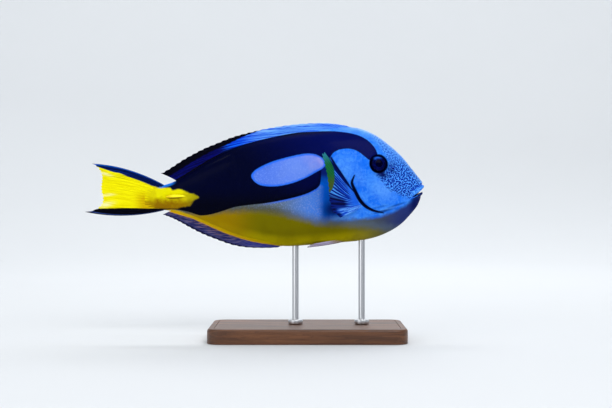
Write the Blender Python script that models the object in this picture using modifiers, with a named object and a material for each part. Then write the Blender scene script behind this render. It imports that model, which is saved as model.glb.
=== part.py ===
"""A regal blue tang as a still, life-size museum model on a plain display stand.

The fish swims level with its head towards +X. The floor is Z = 0, and the origin is the middle of
the whole model's footprint. The fish is laid out in its own frame, whose origin is the middle of its
length at the height of the mouth-to-tail axis, and an empty lifts it off the floor. Names that end in
_mm, and the tables of places, are in millimetres in that frame; all other sizes are metres.
"""

import math

import bmesh
import bpy
import numpy as np
from mathutils import Vector

MM = 0.001
GAP = 0.3 * MM

# Heights of the stand and the fish
AXIS_HEIGHT = 104 * MM
AXIS_MIDDLE_X = -0.1 * MM
BASE_LENGTH = 132 * MM
BASE_WIDTH = 78 * MM
BASE_HEIGHT = 10 * MM
BASE_CENTRE_X = 36 * MM
BASE_CORNER = 9 * MM
BASE_EDGE = 1.8 * MM
ROD_RADIUS = 2.2 * MM
ROD_SIDES = 24
COLLAR_RADIUS = 5.0 * MM
COLLAR_HEIGHT = 3.0 * MM
COLLAR_EDGE = 0.6 * MM
ROD_PLACES = {"stand_rod_front": 73 * MM, "stand_rod_rear": 28 * MM}

# Stations of the body, from the lips to the root of the tail fin:
# place along the body, back, belly, half width, and the level of the greatest width
STATIONS = np.array(
    (
        (115.1, 0.6, -4.5, 1.1, -2.0),
        (114.5, 2.0, -7.2, 2.3, -2.8),
        (113.2, 4.0, -9.6, 3.9, -3.4),
        (110.6, 7.2, -13.8, 5.3, -4.0),
        (106.5, 12.4, -18.9, 7.0, -4.0),
        (100.0, 20.3, -25.6, 9.0, -3.0),
        (92.0, 27.5, -30.8, 11.0, -1.5),
        (82.0, 34.7, -34.9, 12.7, -0.5),
        (70.0, 39.4, -37.3, 13.9, -1.0),
        (56.0, 39.6, -38.5, 14.2, -2.0),
        (38.0, 37.6, -40.0, 13.8, -3.0),
        (20.0, 34.8, -40.8, 12.5, -4.0),
        (2.0, 30.8, -37.9, 10.8, -4.5),
        (-14.0, 25.9, -33.4, 9.0, -4.5),
        (-30.0, 17.6, -26.7, 6.9, -5.0),
        (-43.0, 9.6, -21.2, 5.2, -6.0),
        (-54.0, 3.2, -17.4, 3.9, -7.2),
        (-62.5, 0.4, -16.2, 2.9, -8.0),
    )
)
RING_STEP = 0.4
RING_POINTS = 36
SECTION_FULLNESS = 2.15

# Where the head meets the trunk, down the edge of the gill cover, and the trunk meets the tail's root
GILL_LINE = (
    (46.0, 60),
    (48.5, 46),
    (50.5, 32),
    (53.4, 18),
    (60.5, 6.5),
    (67.6, -1),
    (70.0, -4.5),
    (73.4, -10.3),
    (79.0, -14.9),
    (88.0, -18.8),
    (101.0, -30),
    (110.0, -45),
)
GILL_LINE_POINTS = 36
STEM_LINE = ((-42, 40), (-45, 8), (-45, -24), (-43, -50))
REGION_HALF_DEPTH = 30 * MM
REGION_FRONT = 130.0
REGION_REAR = -80.0

# Gill opening, a crescent groove on each side: place along the body, level, radius
GILL_OPENING = (
    (67.9, 7.0, 0.35),
    (67.0, 1.5, 0.9),
    (70.0, -4.5, 1.15),
    (73.4, -10.3, 1.2),
    (79.0, -14.9, 1.0),
    (88.0, -18.6, 0.35),
)

# Eyes and nostrils. An eye is a flattened ball whose middle is sunk below the skin, and a nostril
# is a place on the side of the head and its radius
EYE_PLACE = (83.9, 14.7)
EYE_RADIUS = 5.8 * MM
EYE_HALF_DEPTH = 3.7 * MM
EYE_SUNK = 1.2 * MM
EYE_SIDES = 22
NOSTRIL_SIDES = 9
NOSTRILS = ((93.7, 11.6, 0.85), (91.6, 13.4, 0.65))

# Mouth: the line between the jaws seen from the side, and half the gap between the lips at its
# corner and in front
MOUTH_CORNER = (107.4, -7.4)
MOUTH_FRONT = (114.5, -3.2)
MOUTH_HALF_OPEN = (0.25, 0.85)
MOUTH_HALF_WIDTH = 9 * MM
MOUTH_CUT_AHEAD = 3.0
LOWER_JAW_FRONT = 112.9
CHIN_LEVEL = -10.3

# Each lip: its line seen from above, from the corner round to the middle, its radius near the corner
# and in front, and the side of the mouth that it is on
LIPS = {
    "upper_lip": (((107.2, 6.5), (110.0, 5.3), (112.6, 3.7), (113.7, 1.8), (114.0, 0.0)), 0.95, 1.45, 1),
    "lower_lip": (((107.0, 6.6), (109.4, 5.7), (111.4, 4.4), (112.5, 2.4), (112.8, 0.0)), 0.8, 1.2, -1),
}
LIP_POINTS = 9
LIP_END = 0.4

# Teeth of the upper jaw: how far round from the middle of the lip each pair stands
TOOTH_PLACES = (0.09, 0.27, 0.46)
TOOTH_RADIUS = 0.42 * MM
TOOTH_LENGTH = 1.7
TOOTH_SUNK = 0.9
TOOTH_SET_BACK = 0.6


def clear_scene():
    for item in list(bpy.data.objects):
        bpy.data.objects.remove(item, do_unlink=True)


def curve_through(points, at):
    """A smooth curve through (key, value...) points, read at the given keys."""
    table = np.array(points, float)
    if table[0, 0] > table[-1, 0]:
        table = table[::-1]
    keys, values = table[:, 0], table[:, 1:]
    steps = np.diff(keys)
    rises = np.diff(values, axis=0) / steps[:, None]
    before, after = steps[:-1, None], steps[1:, None]
    inner = (rises[:-1] * after + rises[1:] * before) / (before + after)
    slopes = np.vstack((1.5 * rises[0] - 0.5 * inner[0], inner, 1.5 * rises[-1] - 0.5 * inner[-1]))
    at = np.clip(np.atleast_1d(np.asarray(at, float)), keys[0], keys[-1])
    k = np.clip(np.searchsorted(keys, at) - 1, 0, len(keys) - 2)
    t = ((at - keys[k]) / steps[k])[:, None]
    h = steps[k][:, None]
    return (
        values[k] * (1 + 2 * t) * (1 - t) ** 2
        + slopes[k] * h * t * (1 - t) ** 2
        + values[k + 1] * t**2 * (3 - 2 * t)
        - slopes[k + 1] * h * t**2 * (1 - t)
    )


def path_through(points, count):
    """Evenly keyed points on a smooth curve through all the given points."""
    keyed = [(n, *point) for n, point in enumerate(points)]
    return curve_through(keyed, np.linspace(0, len(points) - 1, count))


def straight(ends, count):
    """Evenly spaced points on the straight line between two ends."""
    return np.linspace(ends[0], ends[1], count)


STATION_KEYS = np.column_stack((np.arange(len(STATIONS)), STATIONS))
FINE_STATIONS = curve_through(STATION_KEYS, np.linspace(0, len(STATIONS) - 1, 801))


def station(x_mm):
    """Back, belly, half width and widest level at a place along the body."""
    order = FINE_STATIONS[:, 0]
    return np.array([np.interp(-x_mm, -order, FINE_STATIONS[:, c]) for c in range(1, 5)])


def flank(x_mm, z_mm):
    """Half width of the body at a place on its side."""
    back, belly, half, level = station(x_mm)
    reach = (back - level) if z_mm > level else (level - belly)
    share = min(1.0, abs(z_mm - level) / reach)
    return half * (1 - share**SECTION_FULLNESS) ** (1 / SECTION_FULLNESS)


def underside(x_mm, y_mm):
    """Level of the belly at a place off the midline."""
    belly, half, level = station(x_mm)[1:]
    return level - (level - belly) * (1 - (y_mm / half) ** SECTION_FULLNESS) ** (1 / SECTION_FULLNESS)


def section(row, grow_mm):
    """One ring of the body at a station row, grown outwards by a margin."""
    x, back, belly, half, level = row
    turns = 2 * np.pi * np.arange(RING_POINTS) / RING_POINTS
    power = 2 / SECTION_FULLNESS
    up, side = np.cos(turns), np.sin(turns)
    reach = np.where(up > 0, back + grow_mm - level, level - belly + grow_mm)
    z = level + reach * np.sign(up) * np.abs(up) ** power
    y = (half + grow_mm) * np.sign(side) * np.abs(side) ** power
    return np.column_stack((np.full(RING_POINTS, x), y, z)) * MM


def tidy_mesh(mesh, merge=1e-6):
    """Merges doubled points and turns every face outwards."""
    shape = bmesh.new()
    shape.from_mesh(mesh)
    bmesh.ops.remove_doubles(shape, verts=shape.verts, dist=merge)
    bmesh.ops.recalc_face_normals(shape, faces=shape.faces)
    shape.to_mesh(mesh)
    shape.free()
    return mesh


def mesh_from(name, points, faces):
    mesh = bpy.data.meshes.new(name)
    mesh.from_pydata([tuple(p) for p in points], [], faces)
    return tidy_mesh(mesh)


def loft(name, rings):
    """A closed solid through rings of equal length, with a flat cap at each end."""
    count = len(rings[0])
    faces = []
    for r in range(len(rings) - 1):
        for k in range(count):
            n = (k + 1) % count
            faces.append((r * count + k, r * count + n, (r + 1) * count + n, (r + 1) * count + k))
    faces.append(tuple(range(count)))
    faces.append(tuple(range((len(rings) - 1) * count, len(rings) * count)))
    return mesh_from(name, np.vstack(rings), faces)


def body_mesh(name, grow_mm=0.0):
    rows = curve_through(STATION_KEYS, np.arange(0, len(STATIONS) - 1 + 1e-6, RING_STEP))
    rows[0, 0] += grow_mm
    rows[-1, 0] -= grow_mm
    return loft(name, [section(row, grow_mm) for row in rows])


def material(name, colour, roughness, metallic=0.0):
    made = bpy.data.materials.new(name)
    made.use_nodes = True
    shader = made.node_tree.nodes["Principled BSDF"]
    shader.inputs["Base Color"].default_value = (*colour, 1.0)
    shader.inputs["Roughness"].default_value = roughness
    shader.inputs["Metallic"].default_value = metallic
    return made


def collection(name):
    made = bpy.data.collections.new(name)
    bpy.context.scene.collection.children.link(made)
    return made


def add(name, mesh, group, parent=None, place=(0, 0, 0)):
    made = bpy.data.objects.new(name, mesh)
    group.objects.link(made)
    made.parent = parent
    made.location = place
    return made


def hide_cutter(item):
    item.hide_render = True
    item.display_type = "WIRE"
    return item


def boolean(item, other, operation):
    """Adds a Boolean with another object, or with all the objects of a collection."""
    step = item.modifiers.new(f"{operation.lower()}_{other.name}", "BOOLEAN")
    step.operation = operation
    step.solver = "EXACT"
    if isinstance(other, bpy.types.Collection):
        step.operand_type = "COLLECTION"
        step.collection = other
    else:
        step.object = other


def evaluated_mesh(item):
    bpy.context.view_layer.update()
    graph = bpy.context.evaluated_depsgraph_get()
    return bpy.data.meshes.new_from_object(item.evaluated_get(graph))


def keep_largest(mesh):
    """Keeps only the largest closed surface of a mesh."""
    shape = bmesh.new()
    shape.from_mesh(mesh)
    bmesh.ops.remove_doubles(shape, verts=shape.verts, dist=1e-7)
    unseen = set(shape.verts)
    islands = []
    while unseen:
        front = [unseen.pop()]
        island = set(front)
        while front:
            for edge in front.pop().link_edges:
                found = unseen.intersection(edge.verts)
                unseen -= found
                island |= found
                front.extend(found)
        islands.append(island)
    largest = max(islands, key=len)
    loose = [vert for island in islands if island is not largest for vert in island]
    bmesh.ops.delete(shape, geom=loose, context="VERTS")
    shape.to_mesh(mesh)
    shape.free()


def apply_steps(item):
    """Applies an object's modifiers and keeps its largest closed surface."""
    mesh = evaluated_mesh(item)
    item.modifiers.clear()
    keep_largest(mesh)
    old = item.data
    item.data = mesh
    mesh.name = item.name
    bpy.data.meshes.remove(old)


def curve_as_mesh(name, data, turn=(0, 0, 0)):
    """A closed mesh of a curve, with its caps welded on."""
    drawn = bpy.data.objects.new(name, data)
    bpy.context.scene.collection.objects.link(drawn)
    drawn.rotation_euler = turn
    mesh = evaluated_mesh(drawn)
    mesh.transform(drawn.matrix_world)
    bpy.data.objects.remove(drawn)
    return tidy_mesh(mesh)


def outline_prism(name, outline_mm, half_depth, group, parent):
    """A flat outline in the X-Z plane, extruded both ways along Y, as a closed cutter."""
    data = bpy.data.curves.new(name, "CURVE")
    data.dimensions = "2D"
    data.fill_mode = "BOTH"
    data.extrude = half_depth
    line = data.splines.new("POLY")
    line.points.add(len(outline_mm) - 1)
    line.use_cyclic_u = True
    for point, (x, z) in zip(line.points, outline_mm):
        point.co = (x * MM, z * MM, 0, 1)
    mesh = curve_as_mesh(name, data, (math.pi / 2, 0, 0))
    return hide_cutter(add(name, mesh, group, parent))


def tube_mesh(name, path_mm, radii_mm):
    """A tapered round tube along a path, as a closed mesh."""
    data = bpy.data.curves.new(name, "CURVE")
    data.dimensions = "3D"
    data.bevel_depth = MM
    data.bevel_resolution = 2
    data.use_fill_caps = True
    line = data.splines.new("POLY")
    line.points.add(len(path_mm) - 1)
    for point, place, radius in zip(line.points, path_mm, radii_mm):
        point.co = (*(np.asarray(place) * MM), 1)
        point.radius = radius
    return curve_as_mesh(name, data)


def fin_mesh(name, centre, half_thickness, across):
    """A closed thin fin. centre is a grid of points, column by column from root to edge.

    half_thickness has one value a point, and across the direction of each point's thickness.
    Both faces are split into triangles along the same diagonals.
    """
    columns, rows = centre.shape[:2]
    offset = across * half_thickness[:, :, None]
    points = np.vstack(((centre + offset).reshape(-1, 3), (centre - offset).reshape(-1, 3)))
    other = columns * rows
    faces = []
    for c in range(columns - 1):
        for r in range(rows - 1):
            a = c * rows + r
            b, d, e = a + rows, a + rows + 1, a + 1
            faces += [(a, b, d), (a, d, e)]
            faces += [(other + a, other + d, other + b), (other + a, other + e, other + d)]
    rim = [c * rows for c in range(columns)]
    rim += [(columns - 1) * rows + r for r in range(1, rows)]
    rim += [c * rows + rows - 1 for c in range(columns - 2, -1, -1)]
    rim += [r for r in range(rows - 2, 0, -1)]
    for a, b in zip(rim, rim[1:] + rim[:1]):
        faces += [(a, b, other + b), (a, other + b, other + a)]
    return mesh_from(name, points, faces)


def surface_normals(centre):
    """The unit normal of a grid of points at each point."""
    normal = np.cross(np.gradient(centre, axis=0), np.gradient(centre, axis=1))
    return normal / np.maximum(np.linalg.norm(normal, axis=2, keepdims=True), 1e-12)


def sideways(centre):
    """The direction across the body, for each point of a grid."""
    across = np.zeros_like(centre)
    across[:, :, 1] = 1
    return across


# Fins: each is a fan of rays raised on a membrane. Columns alternate between a ray and the middle
# of the membrane behind it.
MEMBRANE_HALF = 0.27 * MM
RAY_HALF_ROOT = 0.62 * MM
RAY_HALF_EDGE = 0.36 * MM


def fin_columns(rays):
    return 2 * rays - 1


def fin_thickness(columns, rows, root_half, fade):
    """Half thickness over a fin: a root that thins towards the membrane, with each ray a ridge."""
    v = np.linspace(0, 1, rows)
    ray = RAY_HALF_ROOT + (RAY_HALF_EDGE - RAY_HALF_ROOT) * v
    root = np.maximum(0, 1 - v / fade) ** 1.5 * (root_half - RAY_HALF_ROOT)
    is_ray = np.arange(columns) % 2 == 0
    return np.where(is_ray[:, None], ray, MEMBRANE_HALF) + root


def notched(columns, rows, depth):
    """Shortens each membrane column, so that the ray tips stand a little proud of the edge."""
    reach = np.ones((columns, rows)) * np.linspace(0, 1, rows)
    reach[1::2] *= 1 - depth
    return reach


# Dorsal and anal fins, folded back along the ridge of the back and the belly. The root runs from
# front to rear along the body, the lean is how far each ray's tip lies behind its root, and the
# height off the body is given at places along it
FOLDED_FINS = {
    "dorsal_fin": {
        "rays": 28,
        "root": (66.5, -52.5),
        "lean": ((0, 4.0), (0.25, 15.0), (0.6, 17.5), (1, 11.1)),
        "height": (
            (62.5, 1.2),
            (58.0, 2.1),
            (53.0, 3.1),
            (37.6, 5.1),
            (22.0, 6.1),
            (6.4, 6.8),
            (-9.2, 7.3),
            (-24.9, 8.9),
            (-40.5, 11.2),
            (-51.4, 11.5),
            (-63.6, 8.3),
        ),
        "sign": 1,
        "root_half": 1.3 * MM,
    },
    "anal_fin": {
        "rays": 21,
        "root": (19.5, -56.0),
        "lean": ((0, 3.5), (0.3, 12.0), (0.65, 13.0), (1, 6.3)),
        "height": (
            (16.0, 1.3),
            (5.0, 3.6),
            (-10.0, 6.4),
            (-25.0, 7.8),
            (-39.0, 8.0),
            (-51.0, 6.0),
            (-62.3, 3.2),
        ),
        "sign": -1,
        "root_half": 1.2 * MM,
    },
}
FOLDED_ROWS = 5
FOLDED_ROOT_FADE = 0.35
FOLDED_NOTCH = 0.05
FOLDED_BEND = (1.08, 0.86)
FOLDED_CLEAR = 0.4


def folded_fin(name, rays, root, lean, height, sign, root_half):
    """A long fin on the midline. sign is 1 on the back and -1 on the belly."""
    columns, rows = fin_columns(rays), FOLDED_ROWS
    u = np.linspace(0, 1, columns)
    root_x = root[0] + (root[1] - root[0]) * u
    tip_x = root_x - curve_through(lean, u)[:, 0]
    edge = 0 if sign > 0 else 1
    root_z = np.array([station(x)[edge] for x in root_x]) + sign * GAP / MM
    tip_z = np.array([station(x)[edge] for x in tip_x]) + sign * curve_through(height, tip_x)[:, 0]
    reach = notched(columns, rows, FOLDED_NOTCH)
    x = root_x[:, None] + (tip_x - root_x)[:, None] * reach ** FOLDED_BEND[0]
    z = root_z[:, None] + (tip_z - root_z)[:, None] * reach ** FOLDED_BEND[1]
    floor = np.array([[station(value)[edge] for value in row] for row in x])
    clear = floor + sign * (GAP / MM + FOLDED_CLEAR * np.linspace(0, 1, rows))
    z = np.maximum(z, clear) if sign > 0 else np.minimum(z, clear)
    centre = np.stack((x, np.zeros_like(x), z), axis=2) * MM
    half = fin_thickness(columns, rows, root_half, FOLDED_ROOT_FADE)
    return fin_mesh(name, centre, half, sideways(centre))


# Tail fin, half closed, with its upper lobe carried high and both lobes drawn out to a point
TAIL_RAYS = 18
TAIL_ROWS = 8
TAIL_ROOT_X = STATIONS[-1, 0] - GAP / MM
TAIL_ROOT_SPREAD = (0.6, -0.5)
TAIL_TIP_X = (
    (0, -110.3),
    (0.05, -107.6),
    (0.13, -105.3),
    (0.5, -104.4),
    (0.87, -105.4),
    (0.95, -109.0),
    (1, -115.2),
)
TAIL_TIP_Z = ((0, 15.2), (0.06, 13.2), (0.5, -1.2), (0.92, -15.4), (1, -17.6))
TAIL_BULGE = 3.1
TAIL_ROOT_HALF = 2.6 * MM
TAIL_EDGE_HALF = 0.7 * MM
TAIL_ROOT_FADE = 0.32
TAIL_NOTCH = 0.02


def tail_fin():
    columns, rows = fin_columns(TAIL_RAYS), TAIL_ROWS
    u = np.linspace(0, 1, columns)
    top, bottom = STATIONS[-1, 1:3] + TAIL_ROOT_SPREAD
    root_z = top + (bottom - top) * u
    tip_x = curve_through(TAIL_TIP_X, u)[:, 0]
    tip_z = curve_through(TAIL_TIP_Z, u)[:, 0]
    reach = notched(columns, rows, TAIL_NOTCH)
    x = TAIL_ROOT_X + (tip_x - TAIL_ROOT_X)[:, None] * reach
    z = root_z[:, None] + (tip_z - root_z)[:, None] * reach
    z += (TAIL_BULGE * (1 - 2 * u))[:, None] * 4 * reach * (1 - reach)
    centre = np.stack((x, np.zeros_like(x), z), axis=2) * MM
    half = fin_thickness(columns, rows, RAY_HALF_ROOT, TAIL_ROOT_FADE)
    swell = np.sqrt(np.maximum(0.0, 1 - (2 * u - 1) ** 2))
    thick = TAIL_EDGE_HALF - MEMBRANE_HALF + (TAIL_ROOT_HALF - TAIL_EDGE_HALF) * swell
    half += thick[:, None] * np.maximum(0, 1 - np.linspace(0, 1, rows) / TAIL_ROOT_FADE) ** 1.4
    return fin_mesh("tail_fin", centre, half, sideways(centre))


# Pectoral fin, swung out and up from the side
PECTORAL_RAYS = 15
PECTORAL_ROWS = 7
PECTORAL_ROOT = ((66.2, -4.6), (71.4, -14.0))
PECTORAL_TIP = (
    (0, 47.2, 21.6),
    (0.07, 45.8, 20.6),
    (0.2, 47.0, 15.3),
    (0.4, 48.6, 7.7),
    (0.6, 49.8, -1.5),
    (0.8, 50.6, -10.6),
    (0.92, 53.2, -17.5),
    (1, 57.8, -21.2),
)
PECTORAL_OUT = ((0, 20.0), (0.25, 25.0), (0.5, 26.5), (0.75, 22.0), (0.92, 15.5), (1, 12.0))
PECTORAL_ROOT_HALF = 1.5 * MM
PECTORAL_ROOT_FADE = 0.4
PECTORAL_SUNK = 1.5
PECTORAL_NOTCH = 0.03
PECTORAL_BEND = ((0, 1.1, 1.0), (0.25, 1.05, 1.15), (0.5, 1.0, 1.45), (0.8, 1.0, 1.25), (1, 1.0, 0.85))
PECTORAL_SWING = 0.85


def pectoral_fin(name, side):
    """side is 1 for the fish's left, at +Y, and -1 for its right."""
    columns, rows = fin_columns(PECTORAL_RAYS), PECTORAL_ROWS
    u = np.linspace(0, 1, columns)
    root = straight(PECTORAL_ROOT, columns)
    skin = np.array([flank(x, z) for x, z in root])
    tip = curve_through(PECTORAL_TIP, u)
    out = curve_through(PECTORAL_OUT, u)[:, 0]
    reach = notched(columns, rows, PECTORAL_NOTCH)
    back, rise = (reach ** power[:, None] for power in curve_through(PECTORAL_BEND, u).T)
    x = root[:, :1] + (tip[:, :1] - root[:, :1]) * back
    y = (skin - PECTORAL_SUNK)[:, None] + (out + PECTORAL_SUNK)[:, None] * reach**PECTORAL_SWING
    z = root[:, 1:] + (tip[:, 1:] - root[:, 1:]) * rise
    centre = np.stack((x, side * y, z), axis=2) * MM
    half = fin_thickness(columns, rows, PECTORAL_ROOT_HALF, PECTORAL_ROOT_FADE)
    return fin_mesh(name, centre, half, surface_normals(centre))


# Pelvic fin, a narrow blade laid back under the belly. Its root is given along the body and off
# the midline, and its tip's two corners as places in space
PELVIC_RAYS = 5
PELVIC_ROWS = 6
PELVIC_ROOT = ((62.0, 2.4), (56.5, 4.2))
PELVIC_TIP = ((36.0, 4.4, -41.6), (40.5, 6.9, -39.2))
PELVIC_ROOT_HALF = 0.9 * MM
PELVIC_ROOT_FADE = 0.35
PELVIC_SUNK = 1.4
PELVIC_NOTCH = 0.03
PELVIC_BEND = (1.0, 0.9, 0.6)


def pelvic_fin(name, side):
    columns, rows = fin_columns(PELVIC_RAYS), PELVIC_ROWS
    root = straight(PELVIC_ROOT, columns)
    skin = [underside(x, y) for x, y in root]
    start = np.column_stack((root, np.array(skin) + PELVIC_SUNK))
    tip = straight(PELVIC_TIP, columns)
    reach = notched(columns, rows, PELVIC_NOTCH)
    lean = reach[:, :, None] ** np.array(PELVIC_BEND)
    centre = (start[:, None, :] + (tip - start)[:, None, :] * lean) * MM
    centre[:, :, 1] *= side
    half = fin_thickness(columns, rows, PELVIC_ROOT_HALF, PELVIC_ROOT_FADE)
    return fin_mesh(name, centre, half, surface_normals(centre))


# Tail spine, the blade at each side of the tail's root, with its point forward
SPINE_ROOT_X = -59.5
SPINE_TIP_X = -46.0
SPINE_LEVEL = -7.4
SPINE_RISE = 0.5
SPINE_RADIUS = 1.5
SPINE_TIP_SHARE = 0.12
SPINE_STANDS_OUT = 0.4
SPINE_POINTS = 9


def tail_spine(name, side):
    share = np.linspace(0, 1, SPINE_POINTS)
    x = SPINE_ROOT_X + (SPINE_TIP_X - SPINE_ROOT_X) * share
    skin = np.array([flank(value, SPINE_LEVEL) for value in x])
    path = np.column_stack((x, side * (skin + SPINE_STANDS_OUT), SPINE_LEVEL + SPINE_RISE * share))
    taper = np.maximum(SPINE_TIP_SHARE, np.sin(np.pi * (0.07 + 0.93 * share)) ** 0.6)
    return tube_mesh(name, path, SPINE_RADIUS * taper)


def ball_mesh(name, radius, segments):
    mesh = bpy.data.meshes.new(name)
    shape = bmesh.new()
    bmesh.ops.create_uvsphere(shape, u_segments=segments, v_segments=segments * 2 // 3, radius=radius)
    shape.to_mesh(mesh)
    shape.free()
    return mesh


def on_skin(x_mm, z_mm, side):
    """A place on the side of the body, in metres."""
    return Vector((x_mm * MM, side * flank(x_mm, z_mm) * MM, z_mm * MM))


def out_of_skin(x_mm, z_mm, side):
    """The direction straight out of the side of the body at a place."""
    across = (on_skin(x_mm + 1, z_mm, side) - on_skin(x_mm - 1, z_mm, side)) / (2 * MM)
    up = (on_skin(x_mm, z_mm + 1, side) - on_skin(x_mm, z_mm - 1, side)) / (2 * MM)
    return (up.cross(across) * side).normalized()


def eye_ball(name, radius, half_depth, side, group, parent):
    """A flattened ball set into the side of the head, facing straight out of the skin."""
    out = out_of_skin(*EYE_PLACE, side)
    place = on_skin(*EYE_PLACE, side) - out * EYE_SUNK
    ball = add(name, ball_mesh(name, radius, EYE_SIDES), group, parent, place)
    ball.scale = (1, half_depth / radius, 1)
    ball.rotation_mode = "QUATERNION"
    ball.rotation_quaternion = Vector((0, 1, 0)).rotation_difference(out)
    return ball


def gill_opening(name, side):
    path = path_through(GILL_OPENING, 4 * len(GILL_OPENING))
    places = [(x, side * flank(x, z), z) for x, z, radius in path]
    return tube_mesh(name, places, path[:, 2])


def mouth_line(x_mm):
    """Level of the line between the jaws at a place along the body."""
    share = (x_mm - MOUTH_CORNER[0]) / (MOUTH_FRONT[0] - MOUTH_CORNER[0])
    return MOUTH_CORNER[1] + (MOUTH_FRONT[1] - MOUTH_CORNER[1]) * share


def mouth_gap(x_mm):
    """Half the gap between the lips at a place along the body."""
    share = np.clip((x_mm - MOUTH_CORNER[0]) / (MOUTH_FRONT[0] - MOUTH_CORNER[0]), 0, 1)
    return MOUTH_HALF_OPEN[0] + (MOUTH_HALF_OPEN[1] - MOUTH_HALF_OPEN[0]) * share**2


def lip_path(line, corner_radius, front_radius, sign):
    """Centre line and radii of one lip, round from corner to corner."""
    half = path_through(line, LIP_POINTS)
    around = np.vstack((half, half[-2::-1] * (1, -1)))
    forward = np.clip((around[:, 0] - line[0][0]) / (line[-1][0] - line[0][0]), 0, 1)
    radii = corner_radius + (front_radius - corner_radius) * forward
    x = around[:, 0]
    z = mouth_line(x) + sign * (radii + mouth_gap(x))
    radii[[0, -1]] *= LIP_END
    return np.column_stack((x, around[:, 1], z)), radii


def tooth(name, x_mm, y_mm, group, parent):
    """A short blunt tooth, rooted in the upper lip."""
    mesh = bpy.data.meshes.new(name)
    shape = bmesh.new()
    bmesh.ops.create_cone(
        shape,
        cap_ends=True,
        segments=6,
        radius1=TOOTH_RADIUS * 0.7,
        radius2=TOOTH_RADIUS,
        depth=TOOTH_LENGTH * MM,
    )
    shape.to_mesh(mesh)
    shape.free()
    level = mouth_line(x_mm) + mouth_gap(x_mm) + TOOTH_SUNK - TOOTH_LENGTH / 2
    return hide_cutter(add(name, mesh, group, parent, (x_mm * MM, y_mm * MM, level * MM)))


def mouth_cutter(cutters, centre):
    """A wedge between the jaws, which also sets the lower jaw back behind the upper one."""
    before = MOUTH_FRONT[0] + MOUTH_CUT_AHEAD
    above = mouth_line(before) + MOUTH_HALF_OPEN[1]
    below = mouth_line(LOWER_JAW_FRONT) - MOUTH_HALF_OPEN[1]
    outline = (
        MOUTH_CORNER,
        (before, above),
        (before, CHIN_LEVEL),
        (LOWER_JAW_FRONT, CHIN_LEVEL),
        (LOWER_JAW_FRONT, below),
    )
    return outline_prism("mouth_wedge", outline, MOUTH_HALF_WIDTH, cutters, centre)


def mouth(head, cutters, centre):
    """Cuts the mouth and joins the lips and the front teeth to the head."""
    boolean(head, mouth_cutter(cutters, centre), "DIFFERENCE")
    jaws = collection("lips_and_teeth")
    for name, lip in LIPS.items():
        hide_cutter(add(name, tube_mesh(name, *lip_path(*lip)), jaws, centre))
    path = lip_path(*LIPS["upper_lip"])[0]
    along = np.linspace(-1, 1, len(path))
    for n, place in enumerate(TOOTH_PLACES):
        for side in (-1, 1):
            x, y = (np.interp(side * place, along, path[:, c]) for c in range(2))
            tooth(f"tooth_{n}_{side}", x - TOOTH_SET_BACK, y, jaws, centre)
    boolean(head, jaws, "UNION")
    return jaws


def rod_profile(top):
    """Half outline of a rod with a low collar at its foot, from the top down its outer side."""
    outline = (
        (0.0, top),
        (ROD_RADIUS, top),
        (ROD_RADIUS, COLLAR_HEIGHT),
        (COLLAR_RADIUS - COLLAR_EDGE, COLLAR_HEIGHT),
        (COLLAR_RADIUS, COLLAR_HEIGHT - COLLAR_EDGE),
        (COLLAR_RADIUS, 0.0),
        (0.0, 0.0),
    )
    mesh = bpy.data.meshes.new("rod")
    lines = [(n, n + 1) for n in range(len(outline) - 1)]
    mesh.from_pydata([(radius, 0, height) for radius, height in outline], lines, [])
    return mesh


def stand_rod(name, x, group, finish, grown):
    rod = add(name, rod_profile(AXIS_HEIGHT), group, None, (x, 0, BASE_HEIGHT + GAP))
    turn = rod.modifiers.new("turned", "SCREW")
    turn.axis = "Z"
    turn.steps = ROD_SIDES
    turn.render_steps = ROD_SIDES
    turn.use_merge_vertices = True
    turn.merge_threshold = 1e-5
    boolean(rod, grown, "DIFFERENCE")
    apply_steps(rod)
    rod.data.materials.clear()
    rod.data.materials.append(finish)


def stand_base(group, finish):
    bpy.ops.mesh.primitive_cube_add(size=1, location=(BASE_CENTRE_X, 0, BASE_HEIGHT / 2))
    base = bpy.context.object
    base.name = "stand_base"
    base.data.name = "stand_base"
    base.scale = (BASE_LENGTH, BASE_WIDTH, BASE_HEIGHT)
    bpy.ops.object.transform_apply(location=False, rotation=False, scale=True)
    shape = bmesh.new()
    shape.from_mesh(base.data)
    upright = [e for e in shape.edges if abs(e.verts[0].co.z - e.verts[1].co.z) > BASE_HEIGHT / 2]
    bmesh.ops.bevel(shape, geom=upright, offset=BASE_CORNER, segments=5, affect="EDGES", profile=0.5)
    top = [e for e in shape.edges if min(v.co.z for v in e.verts) > BASE_HEIGHT / 2 - 1e-6]
    rim = [e for e in top if any(abs(f.normal.z) < 0.5 for f in e.link_faces)]
    bmesh.ops.bevel(shape, geom=rim, offset=BASE_EDGE, segments=3, affect="EDGES", profile=0.5)
    shape.to_mesh(base.data)
    shape.free()
    for owner in list(base.users_collection):
        owner.objects.unlink(base)
    group.objects.link(base)
    base.data.materials.append(finish)


def flesh(fish, cutters, centre, finish):
    """Head, trunk and tail stem: one body, parted along the gill cover and at the tail's root."""
    top, bottom = GILL_LINE[0][1], GILL_LINE[-1][1]
    levels = np.linspace(top, bottom, GILL_LINE_POINTS)
    gill = list(zip(curve_through([(z, x) for x, z in GILL_LINE], levels)[:, 0], levels))
    half = GAP / MM / 2
    rear_line = [(x + half, z) for x, z in STEM_LINE]
    outlines = {
        "head": [(x + half, z) for x, z in gill] + [(REGION_FRONT, bottom), (REGION_FRONT, top)],
        "trunk": [(x - half, z) for x, z in gill[::-1]] + rear_line,
        "tail_stem": [(x - half, z) for x, z in STEM_LINE] + [(REGION_REAR, bottom), (REGION_REAR, top)],
    }
    pieces = {}
    for name, outline in outlines.items():
        region = outline_prism(f"{name}_region", outline, REGION_HALF_DEPTH, cutters, centre)
        piece = add(name, body_mesh(name), fish, centre)
        piece.data.materials.append(finish)
        boolean(piece, region, "INTERSECT")
        pieces[name] = piece
    return pieces


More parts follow.
